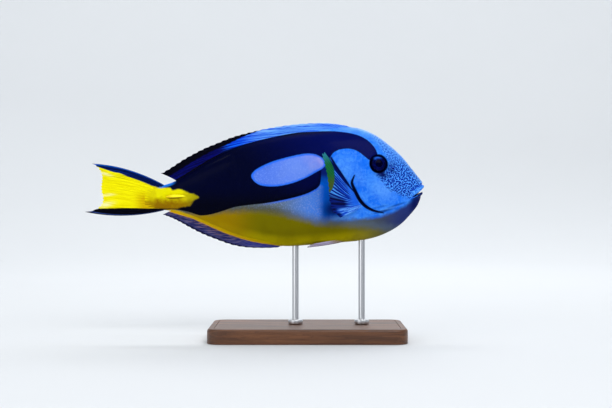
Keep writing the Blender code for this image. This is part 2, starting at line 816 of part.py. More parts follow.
def side_pieces(label, side, pieces, fish, cutters, centre, finishes, grown):
    """Eye, nostrils, gill opening, fins and spine of one side."""
    head = pieces["head"]
    socket = eye_ball(f"socket_{label}", EYE_RADIUS, EYE_HALF_DEPTH, side, cutters, centre)
    boolean(head, hide_cutter(socket), "DIFFERENCE")
    eye = eye_ball(f"eye_{label}", EYE_RADIUS - GAP, EYE_HALF_DEPTH - GAP, side, fish, centre)
    eye.data.materials.append(finishes["eye"])
    for n, (x, z, radius) in enumerate(NOSTRILS):
        pit_mesh = ball_mesh("nostril", radius * MM, NOSTRIL_SIDES)
        pit = add(f"nostril_{label}_{n}", pit_mesh, cutters, centre, on_skin(x, z, side))
        boolean(head, hide_cutter(pit), "DIFFERENCE")
    name = f"gill_opening_{label}"
    groove = hide_cutter(add(name, gill_opening(name, side), cutters, centre))
    boolean(head, groove, "DIFFERENCE")
    boolean(pieces["trunk"], groove, "DIFFERENCE")
    rooted = (
        ("pectoral_fin", pectoral_fin, "fin"),
        ("pelvic_fin", pelvic_fin, "fin"),
        ("tail_spine", tail_spine, "yellow"),
    )
    for kind, make, finish in rooted:
        name = f"{kind}_{label}"
        piece = add(name, make(name, side), fish, centre)
        piece.data.materials.append(finishes[finish])
        boolean(piece, grown, "DIFFERENCE")
        apply_steps(piece)


def main():
    clear_scene()
    fish = collection("blue_tang")
    stand = collection("display_stand")
    cutters = collection("cutters")
    finishes = {
        "skin": material("fish_skin", (0.02, 0.12, 0.75), 0.35),
        "yellow": material("yellow_fin", (0.9, 0.72, 0.0), 0.4),
        "fin": material("blue_fin", (0.05, 0.16, 0.7), 0.4),
        "eye": material("eye", (0.004, 0.006, 0.03), 0.08),
        "wood": material("walnut", (0.12, 0.06, 0.03), 0.45),
        "steel": material("brushed_steel", (0.62, 0.63, 0.65), 0.3, 1.0),
    }
    centre = bpy.data.objects.new("fish_axis", None)
    fish.objects.link(centre)
    centre.location = (AXIS_MIDDLE_X, 0, AXIS_HEIGHT)

    # What grows from the body is cut back to the body's own surface, grown by the gap
    grown = hide_cutter(add("grown_body", body_mesh("grown_body", GAP / MM), cutters, centre))
    pieces = flesh(fish, cutters, centre, finishes["skin"])
    jaws = mouth(pieces["head"], cutters, centre)
    for label, side in (("left", 1), ("right", -1)):
        side_pieces(label, side, pieces, fish, cutters, centre, finishes, grown)
    for piece in pieces.values():
        apply_steps(piece)
    for item in list(jaws.objects):
        bpy.data.objects.remove(item, do_unlink=True)

    for name, sizes in FOLDED_FINS.items():
        add(name, folded_fin(name, **sizes), fish, centre).data.materials.append(finishes["fin"])
    add("tail_fin", tail_fin(), fish, centre).data.materials.append(finishes["yellow"])

    stand_base(stand, finishes["wood"])
    for name, x in ROD_PLACES.items():
        stand_rod(name, x, stand, finishes["steel"], grown)


main()
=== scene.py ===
"""The finish of the regal blue tang model: its painted skin, fins, eyes and teeth, and its stand.

The fish is laid out in its own frame, whose origin is the middle of its length at the height of the
mouth-to-tail axis, and is lifted to its place when a piece's points are written. Names that end in _mm,
the tables of places and all sizes on the fish are in millimetres in that frame.
"""

import math

import bpy
import numpy as np
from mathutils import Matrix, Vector


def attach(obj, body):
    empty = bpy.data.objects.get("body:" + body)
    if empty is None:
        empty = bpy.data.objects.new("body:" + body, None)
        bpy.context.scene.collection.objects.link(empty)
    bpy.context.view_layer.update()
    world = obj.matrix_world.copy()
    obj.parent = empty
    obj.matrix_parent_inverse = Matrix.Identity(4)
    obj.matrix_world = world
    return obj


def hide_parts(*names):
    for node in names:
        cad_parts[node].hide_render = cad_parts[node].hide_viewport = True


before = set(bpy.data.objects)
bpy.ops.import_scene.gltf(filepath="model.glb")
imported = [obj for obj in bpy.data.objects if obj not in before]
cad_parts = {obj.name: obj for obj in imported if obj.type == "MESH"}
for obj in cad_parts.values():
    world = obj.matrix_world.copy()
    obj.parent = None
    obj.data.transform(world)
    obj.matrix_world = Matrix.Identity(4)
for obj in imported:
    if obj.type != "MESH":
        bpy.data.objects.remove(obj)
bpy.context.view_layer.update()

MM = 0.001
LIFT_MM = np.array((-0.1, 0.0, 104.0))
SIDES = {"left": 1, "right": -1}

# Stations of the body, from the lips to the root of the tail fin, and the fleshy wedge that runs on
# over the root of the tail's rays: place along the body, back, belly, half width, widest level
STATIONS = (
    (115.1, 0.6, -4.5, 1.1, -2.0),
    (114.5, 2.0, -7.2, 2.3, -2.8),
    (113.2, 4.0, -9.6, 3.9, -3.4),
    (110.6, 7.2, -13.8, 5.3, -4.0),
    (106.5, 12.4, -18.9, 7.0, -4.0),
    (100.0, 20.3, -25.6, 9.0, -3.0),
    (92.0, 27.5, -30.8, 11.0, -1.5),
    (82.0, 34.7, -34.9, 12.7, -0.5),
    (70.0, 39.4, -37.3, 13.9, -1.0),
    (56.0, 39.6, -38.5, 14.2, -2.0),
    (38.0, 37.6, -40.0, 13.8, -3.0),
    (20.0, 34.8, -40.8, 12.5, -4.0),
    (2.0, 30.8, -37.9, 10.8, -4.5),
    (-14.0, 25.9, -33.4, 9.0, -4.5),
    (-30.0, 17.6, -26.7, 6.9, -5.0),
    (-43.0, 9.6, -21.2, 5.2, -6.0),
    (-54.0, 3.2, -17.4, 3.9, -7.2),
    (-62.5, 0.4, -16.2, 2.9, -8.0),
)
TAIL_WEDGE = (
    (-66.5, 0.2, -15.9, 2.0, -8.0),
    (-71.0, -0.6, -15.4, 0.95, -8.0),
    (-74.5, -2.0, -14.4, 0.4, -8.0),
)
SECTION_FULLNESS = 2.15

# The skin's mesh: points round each ring, and the spacing of the rings along the body
SKIN_AROUND = 224
RING_STEPS = (
    (115.1, 0.14),
    (103.0, 0.24),
    (62.0, 0.46),
    (45.0, 0.62),
    (-40.0, 0.78),
    (-60.0, 0.45),
    (-74.5, 0.38),
)
CAP_RINGS = 8
CAP_LENGTH = 0.16

# Mouth
MOUTH_CORNER = (107.4, -7.4)
MOUTH_FRONT = (114.5, -3.2)
MOUTH_SLOPE = (MOUTH_FRONT[1] - MOUTH_CORNER[1]) / (MOUTH_FRONT[0] - MOUTH_CORNER[0])
MOUTH_HALF_OPEN = (0.25, 0.85)
MOUTH_DEPTH = (1.0, 4.6)
THROAT_X = 105.6
LIP_RADII = {"upper": (0.95, 1.45), "lower": (0.8, 1.2)}
LIP_HEIGHT = 0.85
LIP_SET_BACK = 0.95
JAW_SET_BACK = 0.6
SNOUT_LIMIT = 115.3

# Gill opening, as place along the body, level and radius, and the edge of the cheek above it
GILL_OPENING = (
    (68.2, 7.2, 0.4),
    (66.7, 3.0, 0.95),
    (67.0, 0.8, 1.15),
    (68.8, -3.2, 1.4),
    (71.7, -8.8, 1.5),
    (75.3, -13.0, 1.4),
    (80.4, -16.2, 1.05),
    (88.0, -18.2, 0.4),
)
GILL_DEPTH = 1.25
CHEEK_EDGE = ((52.2, 19.3, 0.7), (55.2, 13.9, 1.0), (58.9, 8.2, 1.15), (63.2, 1.6, 1.1), (67.2, -4.6, 0.7))

EYE_PLACE = (83.9, 14.7)
EYE_RADIUS = 5.5
EYE_HALF_DEPTH = 3.4
EYE_SUNK = 1.2
GLEAM_PATCHES = ((0.7, 4.1, 2.3, 0.65, 4, 0.9), (2.1, 3.6, 1.2, 0.8, -32, 0.7))
NOSTRILS = ((93.7, 11.6, 0.85), (91.6, 13.4, 0.65))

# Relief of the head. Rims, lips and grooves, as height, distance of their middle and width, the hollow
# of the eye's socket, as depth and distances of its foot and edge, and low swellings and hollows, as
# height, middle and reach along and up
SOCKET_RIM = (0.45, 6.9, 0.95)
NOSTRIL_RIM = (0.3, 0.25, 0.45)
NOSTRIL_DEPTH = 0.95
GILL_LIP = (0.62, 1.5, 1.25)
CHEEK_LIP = (0.3, 1.8, 1.4)
CHEEK_GROOVE = (-0.45, 0.0, 0.65)
SOCKET_HOLLOW = (2.4, 4.7, 6.35)
BROW = (0.35, 86, 22.4, 7.5, 2.6)
SWELLINGS = ((0.5, 78, -4.5, 7, 8), (-0.3, 90, 5, 4, 7), (0.5, 68.2, -8.6, 3, 6))

# Tail spine, its place on the side of the tail's stem, and the groove that it lies in
SPINE_ROOT_X = -59.8
SPINE_TIP_X = -46.2
SPINE_LEVEL = -7.4
SPINE_RISE = 0.5
SPINE_STANDS_OUT = 0.15
SPINE_HALVES = (0.95, 1.3)
SPINE_GROOVE = (-0.55, 0.0, 1.7)
SPINE_GROOVE_ENDS = ((-62, -59), (-47, -43))

# Markings, as outlines seen from the side as in the photo, from the middle of its view and its distance.
# Stretches beyond the body's outline only close them
VIEW_MIDDLE = (35.16, -12.24)
VIEW_DISTANCE = 900.0
BLACK_MARK = (
    (-76, 16),
    (-50, 22),
    (-30, 34),
    (-10, 42),
    (10, 42),
    (16, 35.4),
    (29.1, 36.4),
    (40, 37.0),
    (52.4, 37.3),
    (61, 36.6),
    (67.6, 35.4),
    (72.8, 33.6),
    (77.3, 30.9),
    (81, 27.2),
    (82.9, 24.0),
    (83.7, 20.5),
    (84.6, 15),
    (79.6, 16.6),
    (77.6, 18.0),
    (75.5, 19.7),
    (71.9, 22.6),
    (68.4, 24.5),
    (64, 25.4),
    (58.2, 24.8),
    (54.0, 22.7),
    (51.6, 19.6),
    (49.2, 17.6),
    (46.4, 15.6),
    (45.6, 10.6),
    (45.2, 3.6),
    (43.8, -0.4),
    (39.8, -3.2),
    (34, -5.8),
    (23.1, -8.8),
    (8.5, -11.6),
    (-4, -13.0),
    (-13.4, -14.4),
    (-22.4, -17.3),
    (-30, -19.4),
    (-36.9, -20.0),
    (-43.7, -17.9),
    (-50.5, -16.4),
    (-57.3, -16.0),
    (-64, -16.6),
    (-76, -18),
)
OVAL_MARK = (
    (-2.1, 6.3),
    (-0.7, 9.6),
    (3.6, 12.7),
    (11.6, 16.4),
    (21.4, 19.3),
    (31.1, 21.5),
    (37.6, 22.1),
    (42.8, 21.1),
    (47.0, 18.4),
    (48.4, 14.6),
    (46.4, 11.9),
    (42.8, 9.8),
    (34.3, 5.2),
    (24.6, 1.6),
    (14.8, -0.2),
    (5.7, 0.2),
    (0.8, 2.4),
)
YELLOW_MARK = (
    (-118, 17.0),
    (-107.2, 13.2),
    (-101.6, 11.4),
    (-95.9, 9.4),
    (-91.5, 8.5),
    (-84.7, 6.0),
    (-79.1, 4.0),
    (-73.4, 1.8),
    (-69.5, 0.2),
    (-64.9, -1.1),
    (-61.0, -1.4),
    (-57.6, -1.2),
    (-55.2, -2.8),
    (-50.9, -2.0),
    (-47.5, -3.2),
    (-44.1, -4.8),
    (-41.3, -5.4),
    (-37.9, -7.6),
    (-40.7, -9.3),
    (-42.2, -11.6),
    (-44.0, -13.6),
    (-48.5, -14.2),
    (-53.1, -15.3),
    (-61.6, -15.3),
    (-72.3, -15.2),
    (-84.5, -15.1),
    (-98.1, -15.2),
    (-106.4, -15.2),
    (-109.4, -14.0),
    (-118, -8.0),
)
SNOUT_MARK = (
    (83.0, 8.0),
    (85.2, 5.2),
    (89.4, 0.2),
    (93.6, -4.0),
    (98.6, -6.4),
    (106.2, -8.4),
    (118, -5),
    (118, 8),
    (104, 20),
    (94, 29),
    (84, 38),
    (76, 38),
    (84, 29.5),
    (87, 23),
    (91.5, 17),
    (90.2, 11.4),
)
MARKS = {"black": BLACK_MARK, "oval": OVAL_MARK, "yellow": YELLOW_MARK, "snout": SNOUT_MARK}

# Upper limits of the belly's yellow and of the grey below the blue cheek, as (place, level)
BELLY_LIMIT = (
    (-64, -18.6),
    (-46, -19.6),
    (-33.5, -19.0),
    (-19.4, -17.9),
    (-4.3, -16.9),
    (9.1, -17.9),
    (17, -19.1),
    (29.1, -22.2),
    (41.3, -25.4),
    (51.5, -26.6),
    (65, -27.2),
    (80, -28.6),
    (92, -31.0),
    (104, -33.0),
)
CHIN_LIMIT = (
    (30, -20.0),
    (46, -23.6),
    (56.1, -23.8),
    (65.2, -22.9),
    (74.3, -22.1),
    (84, -20.8),
    (92.0, -18.4),
    (101.6, -13.6),
    (108.0, -9.6),
    (114, -6.4),
)

# Soft patches of tone on the skin: middle, reach along and across, tilt in degrees, and strength
GLOW_PATCHES = (
    (87.5, -2.5, 9.0, 6.5, -30, 0.7),
    (63.0, 13.0, 8.0, 8.0, 0, 0.35),
    (71.5, 6.5, 4.0, 7.0, 20, 0.35),
    (41.5, -10.0, 5.5, 11.0, 0, 0.6),
    (66.7, -17.2, 7.0, 0.75, 30, 1.0),
    (67.0, -13.6, 5.4, 0.6, 24, 0.8),
    (60.5, -21.6, 8.0, 1.3, 8, 0.8),
    (92.0, -15.0, 8.0, 0.7, 14, 0.45),
)
# Painted shade: the shadow below the pectoral fin and the shade under the eye and by the nostrils, with a
# few thin dark streaks low on the cheek
SHADE_AND_STREAK_PATCHES = (
    (54.5, -15.5, 8.0, 6.4, 20, 1.0),
    (62.5, -17.0, 5.6, 1.6, 28, 0.7),
    (86.6, 8.2, 4.6, 2.3, -24, 1.0),
    (50.0, -14.0, 2.6, 9.0, 0, 0.3),
    (88.0, -17.0, 7.0, 0.8, 14, 0.8),
    (97.0, -13.0, 6.0, 0.7, 18, 0.6),
    (86.0, -14.0, 5.0, 0.6, 10, 0.4),
    (92.0, 12.6, 4.2, 4.4, 0, 0.4),
    (93.0, 11.0, 4.2, 0.8, -28, 0.8),
)
PALE_PATCHES = (
    (-101.5, 8.2, 4.5, 0.9, -16, 0.8),
    (-99.8, -6.0, 4.5, 0.9, 4, 0.7),
    (-101.2, -12.8, 5.0, 1.6, 12, 0.9),
)

# Fins. U runs from 0 at the first ray to 1 at the last, and V from 0 at the root to 1 at the edge
MEMBRANE_HALF = 0.17
RAY_HALF = (0.56, 0.26)
RAY_WIDTH = 0.2
COLUMNS_A_RAY = 10
FOLDED_FINS = {
    "dorsal_fin": {
        "rays": 28,
        "root": (66.5, -52.5),
        "lean": ((0, 4.0), (0.25, 15.0), (0.6, 17.5), (1, 11.1)),
        "height": (
            (62.5, 1.2),
            (58.0, 2.1),
            (53.0, 3.1),
            (37.6, 5.1),
            (22.0, 6.1),
            (6.4, 6.8),
            (-9.2, 7.3),
            (-24.9, 8.9),
            (-40.5, 11.2),
            (-51.4, 11.5),
            (-63.6, 8.3),
        ),
        "sign": 1,
        "root_half": 1.3,
    },
    "anal_fin": {
        "rays": 21,
        "root": (19.5, -56.0),
        "lean": ((0, 3.5), (0.3, 12.0), (0.65, 13.0), (1, 6.3)),
        "height": (
            (16.0, 1.3),
            (5.0, 3.6),
            (-10.0, 6.4),
            (-25.0, 7.8),
            (-39.0, 8.0),
            (-51.0, 6.0),
            (-62.3, 3.2),
        ),
        "sign": -1,
        "root_half": 1.2,
    },
}
FOLDED_ROWS = 30
FOLDED_BEND = (1.08, 0.86)
FOLDED_NOTCH = 0.045
FOLDED_SUNK = 0.9
FOLDED_CLEAR = 0.5

TAIL_RAYS = 18
TAIL_ROWS = 64
TAIL_ROOT_X = -61.6
TAIL_ROOT_SPREAD = (0.5, -0.4)
TAIL_TIP_X = (
    (0, -110.3),
    (0.05, -107.6),
    (0.13, -105.3),
    (0.5, -104.4),
    (0.87, -105.4),
    (0.95, -109.0),
    (1, -115.2),
)
TAIL_TIP_Z = ((0, 15.2), (0.06, 13.2), (0.5, -1.2), (0.92, -15.4), (1, -17.6))
TAIL_BULGE = 3.1
TAIL_NOTCH = 0.018

PECTORAL_RAYS = 15
PECTORAL_ROWS = 44
PECTORAL_ROOT = ((66.2, -4.6), (71.4, -14.0))
PECTORAL_TIP = (
    (0, 47.2, 21.6),
    (0.07, 45.8, 20.6),
    (0.2, 47.0, 15.3),
    (0.4, 48.6, 7.7),
    (0.6, 49.8, -1.5),
    (0.8, 50.6, -10.6),
    (0.92, 53.2, -17.5),
    (1, 57.8, -21.2),
)
PECTORAL_OUT = ((0, 20.0), (0.25, 25.0), (0.5, 26.5), (0.75, 22.0), (0.92, 15.5), (1, 12.0))
PECTORAL_BEND = ((0, 1.1, 1.0), (0.25, 1.05, 1.15), (0.5, 1.0, 1.45), (0.8, 1.0, 1.25), (1, 1.0, 0.85))
PECTORAL_SWING = 0.85
PECTORAL_SUNK = 1.5
GREEN_MARK = (
    (40, 28.0),
    (42, 10.0),
    (46, -2.4),
    (50.4, -5.2),
    (51.9, -3.4),
    (53.2, -1.7),
    (54.2, 1.5),
    (54.6, 5.8),
    (54.1, 10.9),
    (52.0, 16.6),
    (49.4, 21.4),
    (47.2, 25.0),
)

PELVIC_RAYS = 5
PELVIC_ROWS = 40
PELVIC_ROOT = ((62.0, 2.4), (56.5, 4.2))
PELVIC_TIP = ((36.0, 4.4, -41.6), (40.5, 6.9, -39.2))
PELVIC_BEND = (1.0, 0.9, 0.6)
PELVIC_SUNK = 1.4
PAIRED_NOTCH = 0.03

# Lips' middle lines, and the teeth behind them: upward sign, first place and step along the lip,
# how many on each side, length and width. Each tooth is smaller than the one before it, by a share
LIP_LINES = {
    "upper": ((107.2, 6.5), (110.0, 5.3), (112.6, 3.7), (113.7, 1.8), (114.0, 0.0)),
    "lower": ((107.0, 6.6), (109.4, 5.7), (111.4, 4.4), (112.5, 2.4), (112.8, 0.0)),
}
TOOTH_ROWS = {"upper": (1, 0.07, 0.145, 4, 1.5, 0.85), "lower": (-1, 0.08, 0.16, 3, 1.25, 0.75)}
TOOTH_SMALLER = 0.12
TOOTH_THICKNESS = 0.42
TOOTH_ROUNDING = 0.14
TOOTH_SET_BACK = 1.1
TOOTH_INWARD = 0.86

# Stand, in metres
BASE_SIZE = (0.132, 0.078, 0.010)
BASE_CENTRE_X = 0.036
BASE_CORNER = 0.009
BASE_EDGE = 0.0018
BASE_FOOT_EDGE = 0.0005
GROOVE_INSET = 0.0024
GROOVE_HALF_WIDTH = 0.0003
GROOVE_DEPTH = 0.0005
ROD_RADIUS = 0.0022
COLLAR_RADIUS = 0.005
COLLAR_HEIGHT = 0.003
COLLAR_EDGE = 0.0006
ROD_FOOT = 0.0103
ROD_INTO_BELLY = 0.0006
ROD_PLACES = {"front": 0.0729, "rear": 0.0279}

# Studio and camera, in metres and watts
STUDIO_RADIUS = 2.8
STUDIO_HEIGHT = 3.2
STUDIO_CURVE = 1.7
LIGHTS = (
    ("key_softbox", (0.45, -1.15, 1.0), (0, 0, 0.1), (0.9, 0.7), 11.2),
    ("fill_softbox", (-0.9, -1.0, 0.5), (0, 0, 0.1), (0.8, 0.8), 4.6),
    ("back_softbox", (0.3, 1.0, 1.1), (0, 0, 0.1), (1.0, 0.5), 6.0),
    ("top_softbox", (0.0, 0.0, 1.5), (0, 0, 0.1), (1.2, 0.8), 4.0),
    ("catch_light", (-0.66, -0.58, 1.1), (0.08, 0, 0.12), (0.12, 0.09), 0.6),
    ("backdrop_wash", (0.0, 1.2, 2.3), (0, 2.3, 0.1), (2.4, 0.8), 34.0),
)
WORLD_STRENGTH = 0.35
CAMERA_DISTANCE = 0.9
PHOTO_WIDTH = 0.41616
PHOTO_CENTRE = (0.03506, 0.09176)
SENSOR_WIDTH = 36.0


def clear_selection():
    """Deselects everything, so that an operator acts only on what it is meant for."""
    for item in bpy.context.selected_objects:
        item.select_set(False)
    bpy.context.view_layer.objects.active = None


def curve_through(points, at):
    """A smooth curve through (key, value...) points, read at the given keys."""
    table = np.array(points, float)
    if table[0, 0] > table[-1, 0]:
        table = table[::-1]
    keys, values = table[:, 0], table[:, 1:]
    steps = np.diff(keys)
    rises = np.diff(values, axis=0) / steps[:, None]
    before, after = steps[:-1, None], steps[1:, None]
    inner = (rises[:-1] * after + rises[1:] * before) / (before + after)
    slopes = np.vstack((1.5 * rises[0] - 0.5 * inner[0], inner, 1.5 * rises[-1] - 0.5 * inner[-1]))
    at = np.clip(np.atleast_1d(np.asarray(at, float)), keys[0], keys[-1])
    k = np.clip(np.searchsorted(keys, at) - 1, 0, len(keys) - 2)
    t = ((at - keys[k]) / steps[k])[:, None]
    h = steps[k][:, None]
    return (
        values[k] * (1 + 2 * t) * (1 - t) ** 2
        + slopes[k] * h * t * (1 - t) ** 2
        + values[k + 1] * t**2 * (3 - 2 * t)
        - slopes[k + 1] * h * t**2 * (1 - t)
    )


def path_through(points, count):
    """Evenly keyed points on a smooth curve through all the given points."""
    keyed = [(n, *point) for n, point in enumerate(points)]
    return curve_through(keyed, np.linspace(0, len(points) - 1, count))


def read_stations(stations):
    """A fine table of the body, on smooth curves through its stations."""
    keyed = np.column_stack((np.arange(len(stations)), np.array(stations)))
    return curve_through(keyed, np.linspace(0, len(stations) - 1, 1601))


BODY = read_stations(STATIONS)
SKIN_BODY = read_stations(STATIONS + TAIL_WEDGE)


def station(x, table=BODY):
    """Back, belly, half width and widest level at places along the body."""
    return [np.interp(-np.asarray(x, float), -table[:, 0], table[:, c]) for c in range(1, 5)]


def flank(x, z):
    """Half width of the body at places on its side."""
    back, belly, half, level = station(x)
    z = np.asarray(z, float)
    reach = np.where(z > level, back - level, level - belly)
    share = np.clip(np.abs(z - level) / reach, 0, 1)
    return half * (1 - share**SECTION_FULLNESS) ** (1 / SECTION_FULLNESS)


def underside(x, y):
    """Level of the belly at places off the midline."""
    belly, half, level = station(x)[1:]
    return level - (level - belly) * (1 - np.abs(y / half) ** SECTION_FULLNESS) ** (1 / SECTION_FULLNESS)


def ease(value, low, high):
    """0 at low and 1 at high, with a smooth start and end."""
    share = np.clip((np.asarray(value, float) - low) / (high - low), 0, 1)
    return share * share * (3 - 2 * share)


def hump(distance, width=1.0):
    """1 where the distance is nothing, falling smoothly to 0."""
    return np.exp(-((distance / width) ** 2))


def raised(edge, away):
    """Rise of a rim, lip or groove, given as its height, the distance of its middle and its width."""
    height, middle, width = edge
    return height * hump(away - middle, width)


def between(ends, share):
    """From the first of two numbers to the second, as the share goes from 0 to 1."""
    return ends[0] + (ends[1] - ends[0]) * share


def closed_curve(points, steps=5):
    """A smooth closed outline through the given points, in steps from each to the next."""
    points = np.array(points, float)
    last, following, after = (np.roll(points, shift, 0) for shift in (1, -1, -2))
    t = np.linspace(0, 1, steps, endpoint=False)[None, :, None]
    p, a, b, c = (v[:, None, :] for v in (points, last, following, after))
    curve = p + 0.5 * t * (b - a + t * (2 * a - 5 * p + 4 * b - c + t * (3 * (p - b) + c - a)))
    return curve.reshape(-1, 2)


def nearest_on(path, x, z):
    """Distance to an open path, the share of its length there, and the side of it, 1 or -1."""
    best = np.full(len(x), 1e9)
    share = np.zeros(len(x))
    side = np.ones(len(x))
    for n in range(len(path) - 1):
        (ax, az), (bx, bz) = path[n][:2], path[n + 1][:2]
        dx, dz = bx - ax, bz - az
        t = np.clip(((x - ax) * dx + (z - az) * dz) / (dx * dx + dz * dz + 1e-12), 0, 1)
        px, pz = x - ax - t * dx, z - az - t * dz
        distance = np.hypot(px, pz)
        nearer = distance < best
        best = np.where(nearer, distance, best)
        share = np.where(nearer, (n + t) / (len(path) - 1), share)
        side = np.where(nearer, np.sign(dx * pz - dz * px + 1e-12), side)
    return best, share, side


def depth_in(outline, x, z):
    """Distance to a closed outline seen from the side: above 0 inside it and below 0 outside."""
    curve = closed_curve(outline)
    ring = np.vstack((curve, curve[:1]))
    distance = nearest_on(ring, x, z)[0]
    inside = np.zeros(len(x), bool)
    for (ax, az), (bx, bz) in zip(ring[:-1], ring[1:]):
        crosses = (az > z) != (bz > z)
        inside ^= crosses & (x < ax + (bx - ax) * (z - az) / np.where(bz == az, 1e-9, bz - az))
    return np.where(inside, distance, -distance)


def patches(table, x, z):
    """The strongest of a table's soft patches at each place."""
    strongest = np.zeros(len(x))
    for middle_x, middle_z, along, across, tilt, strength in table:
        c, s = math.cos(math.radians(tilt)), math.sin(math.radians(tilt))
        u = ((x - middle_x) * c + (z - middle_z) * s) / along
        v = (-(x - middle_x) * s + (z - middle_z) * c) / across
        strongest = np.maximum(strongest, strength * np.exp(-(u * u + v * v) ** 1.2))
    return strongest


def points_of(piece):
    """A piece's vertices as an array, in the units that they are in."""
    flat = np.zeros(len(piece.data.vertices) * 3)
    piece.data.vertices.foreach_get("co", flat)
    return flat.reshape(-1, 3)


def fish_points(piece):
    """A piece's vertices in the fish's frame, in millimetres."""
    return points_of(piece) / MM - LIFT_MM


def move_points(piece, places_mm):
    """Moves a piece's vertices to places in the fish's frame."""
    piece.data.vertices.foreach_set("co", ((places_mm + LIFT_MM) * MM).ravel())
    piece.data.update()


def mark(piece, name, values):
    """Keeps one number a vertex with the mesh, for its material to read."""
    layer = piece.data.attributes.new(name, "FLOAT", "POINT")
    layer.data.foreach_set("value", np.asarray(values, np.float32))


def named(name, material):
    """Names the piece that was just made, and gives it its material."""
    piece = bpy.context.object
    piece.name = name
    piece.data.name = name
    piece.data.materials.clear()
    piece.data.materials.append(material)
    return piece


def ball_piece(segments, rings, name, material):
    """A piece that starts as a ball, and the ball's points."""
    clear_selection()
    bpy.ops.mesh.primitive_uv_sphere_add(segments=segments, ring_count=rings, radius=1)
    piece = named(name, material)
    return piece, points_of(piece)


def choose(piece):
    """Selects one piece alone."""
    clear_selection()
    piece.select_set(True)
    bpy.context.view_layer.objects.active = piece


def smooth(piece, angle=None):
    """Shades a piece smooth, but for edges sharper than the angle in degrees if one is given."""
    choose(piece)
    if angle is None:
        bpy.ops.object.shade_smooth()
    else:
        bpy.ops.object.shade_smooth_by_angle(angle=math.radians(angle))
    piece.select_set(False)


def apply_modifiers(piece):
    """Makes a piece's modifiers part of its mesh."""
    choose(piece)
    for step in list(piece.modifiers):
        bpy.ops.object.modifier_apply(modifier=step.name)
    piece.select_set(False)


def soften(piece, width, segments):
    """Bevels all sharp edges of a piece."""
    rounded = piece.modifiers.new("rounded", "BEVEL")
    rounded.width = width
    rounded.segments = segments
    rounded.limit_method = "ANGLE"
    apply_modifiers(piece)


def settle(piece, *nodes):
    """Puts a finished piece on the body, in place of the solids that it stands for."""
    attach(piece, "root")
    if nodes:
        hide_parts(*nodes)
    return piece


def paint(red, green, blue):
    """A paint colour, mixed as 0 to 255 on a screen, as the shader takes it."""
    levels = [value / 255 for value in (red, green, blue)]
    return (*[v / 12.92 if v <= 0.04045 else ((v + 0.055) / 1.055) ** 2.4 for v in levels], 1.0)


class Value:
    """A number that varies over a surface, which takes Python's arithmetic."""

    def __init__(self, finish, socket):
        self.finish = finish
        self.socket = socket

    def __add__(self, other):
        return self.finish.math("ADD", self, other)

    def __radd__(self, other):
        return self.finish.math("ADD", other, self)

    def __sub__(self, other):
        return self.finish.math("SUBTRACT", self, other)

    def __rsub__(self, other):
        return self.finish.math("SUBTRACT", other, self)

    def __mul__(self, other):
        return self.finish.math("MULTIPLY", self, other)

    def __rmul__(self, other):
        return self.finish.math("MULTIPLY", other, self)


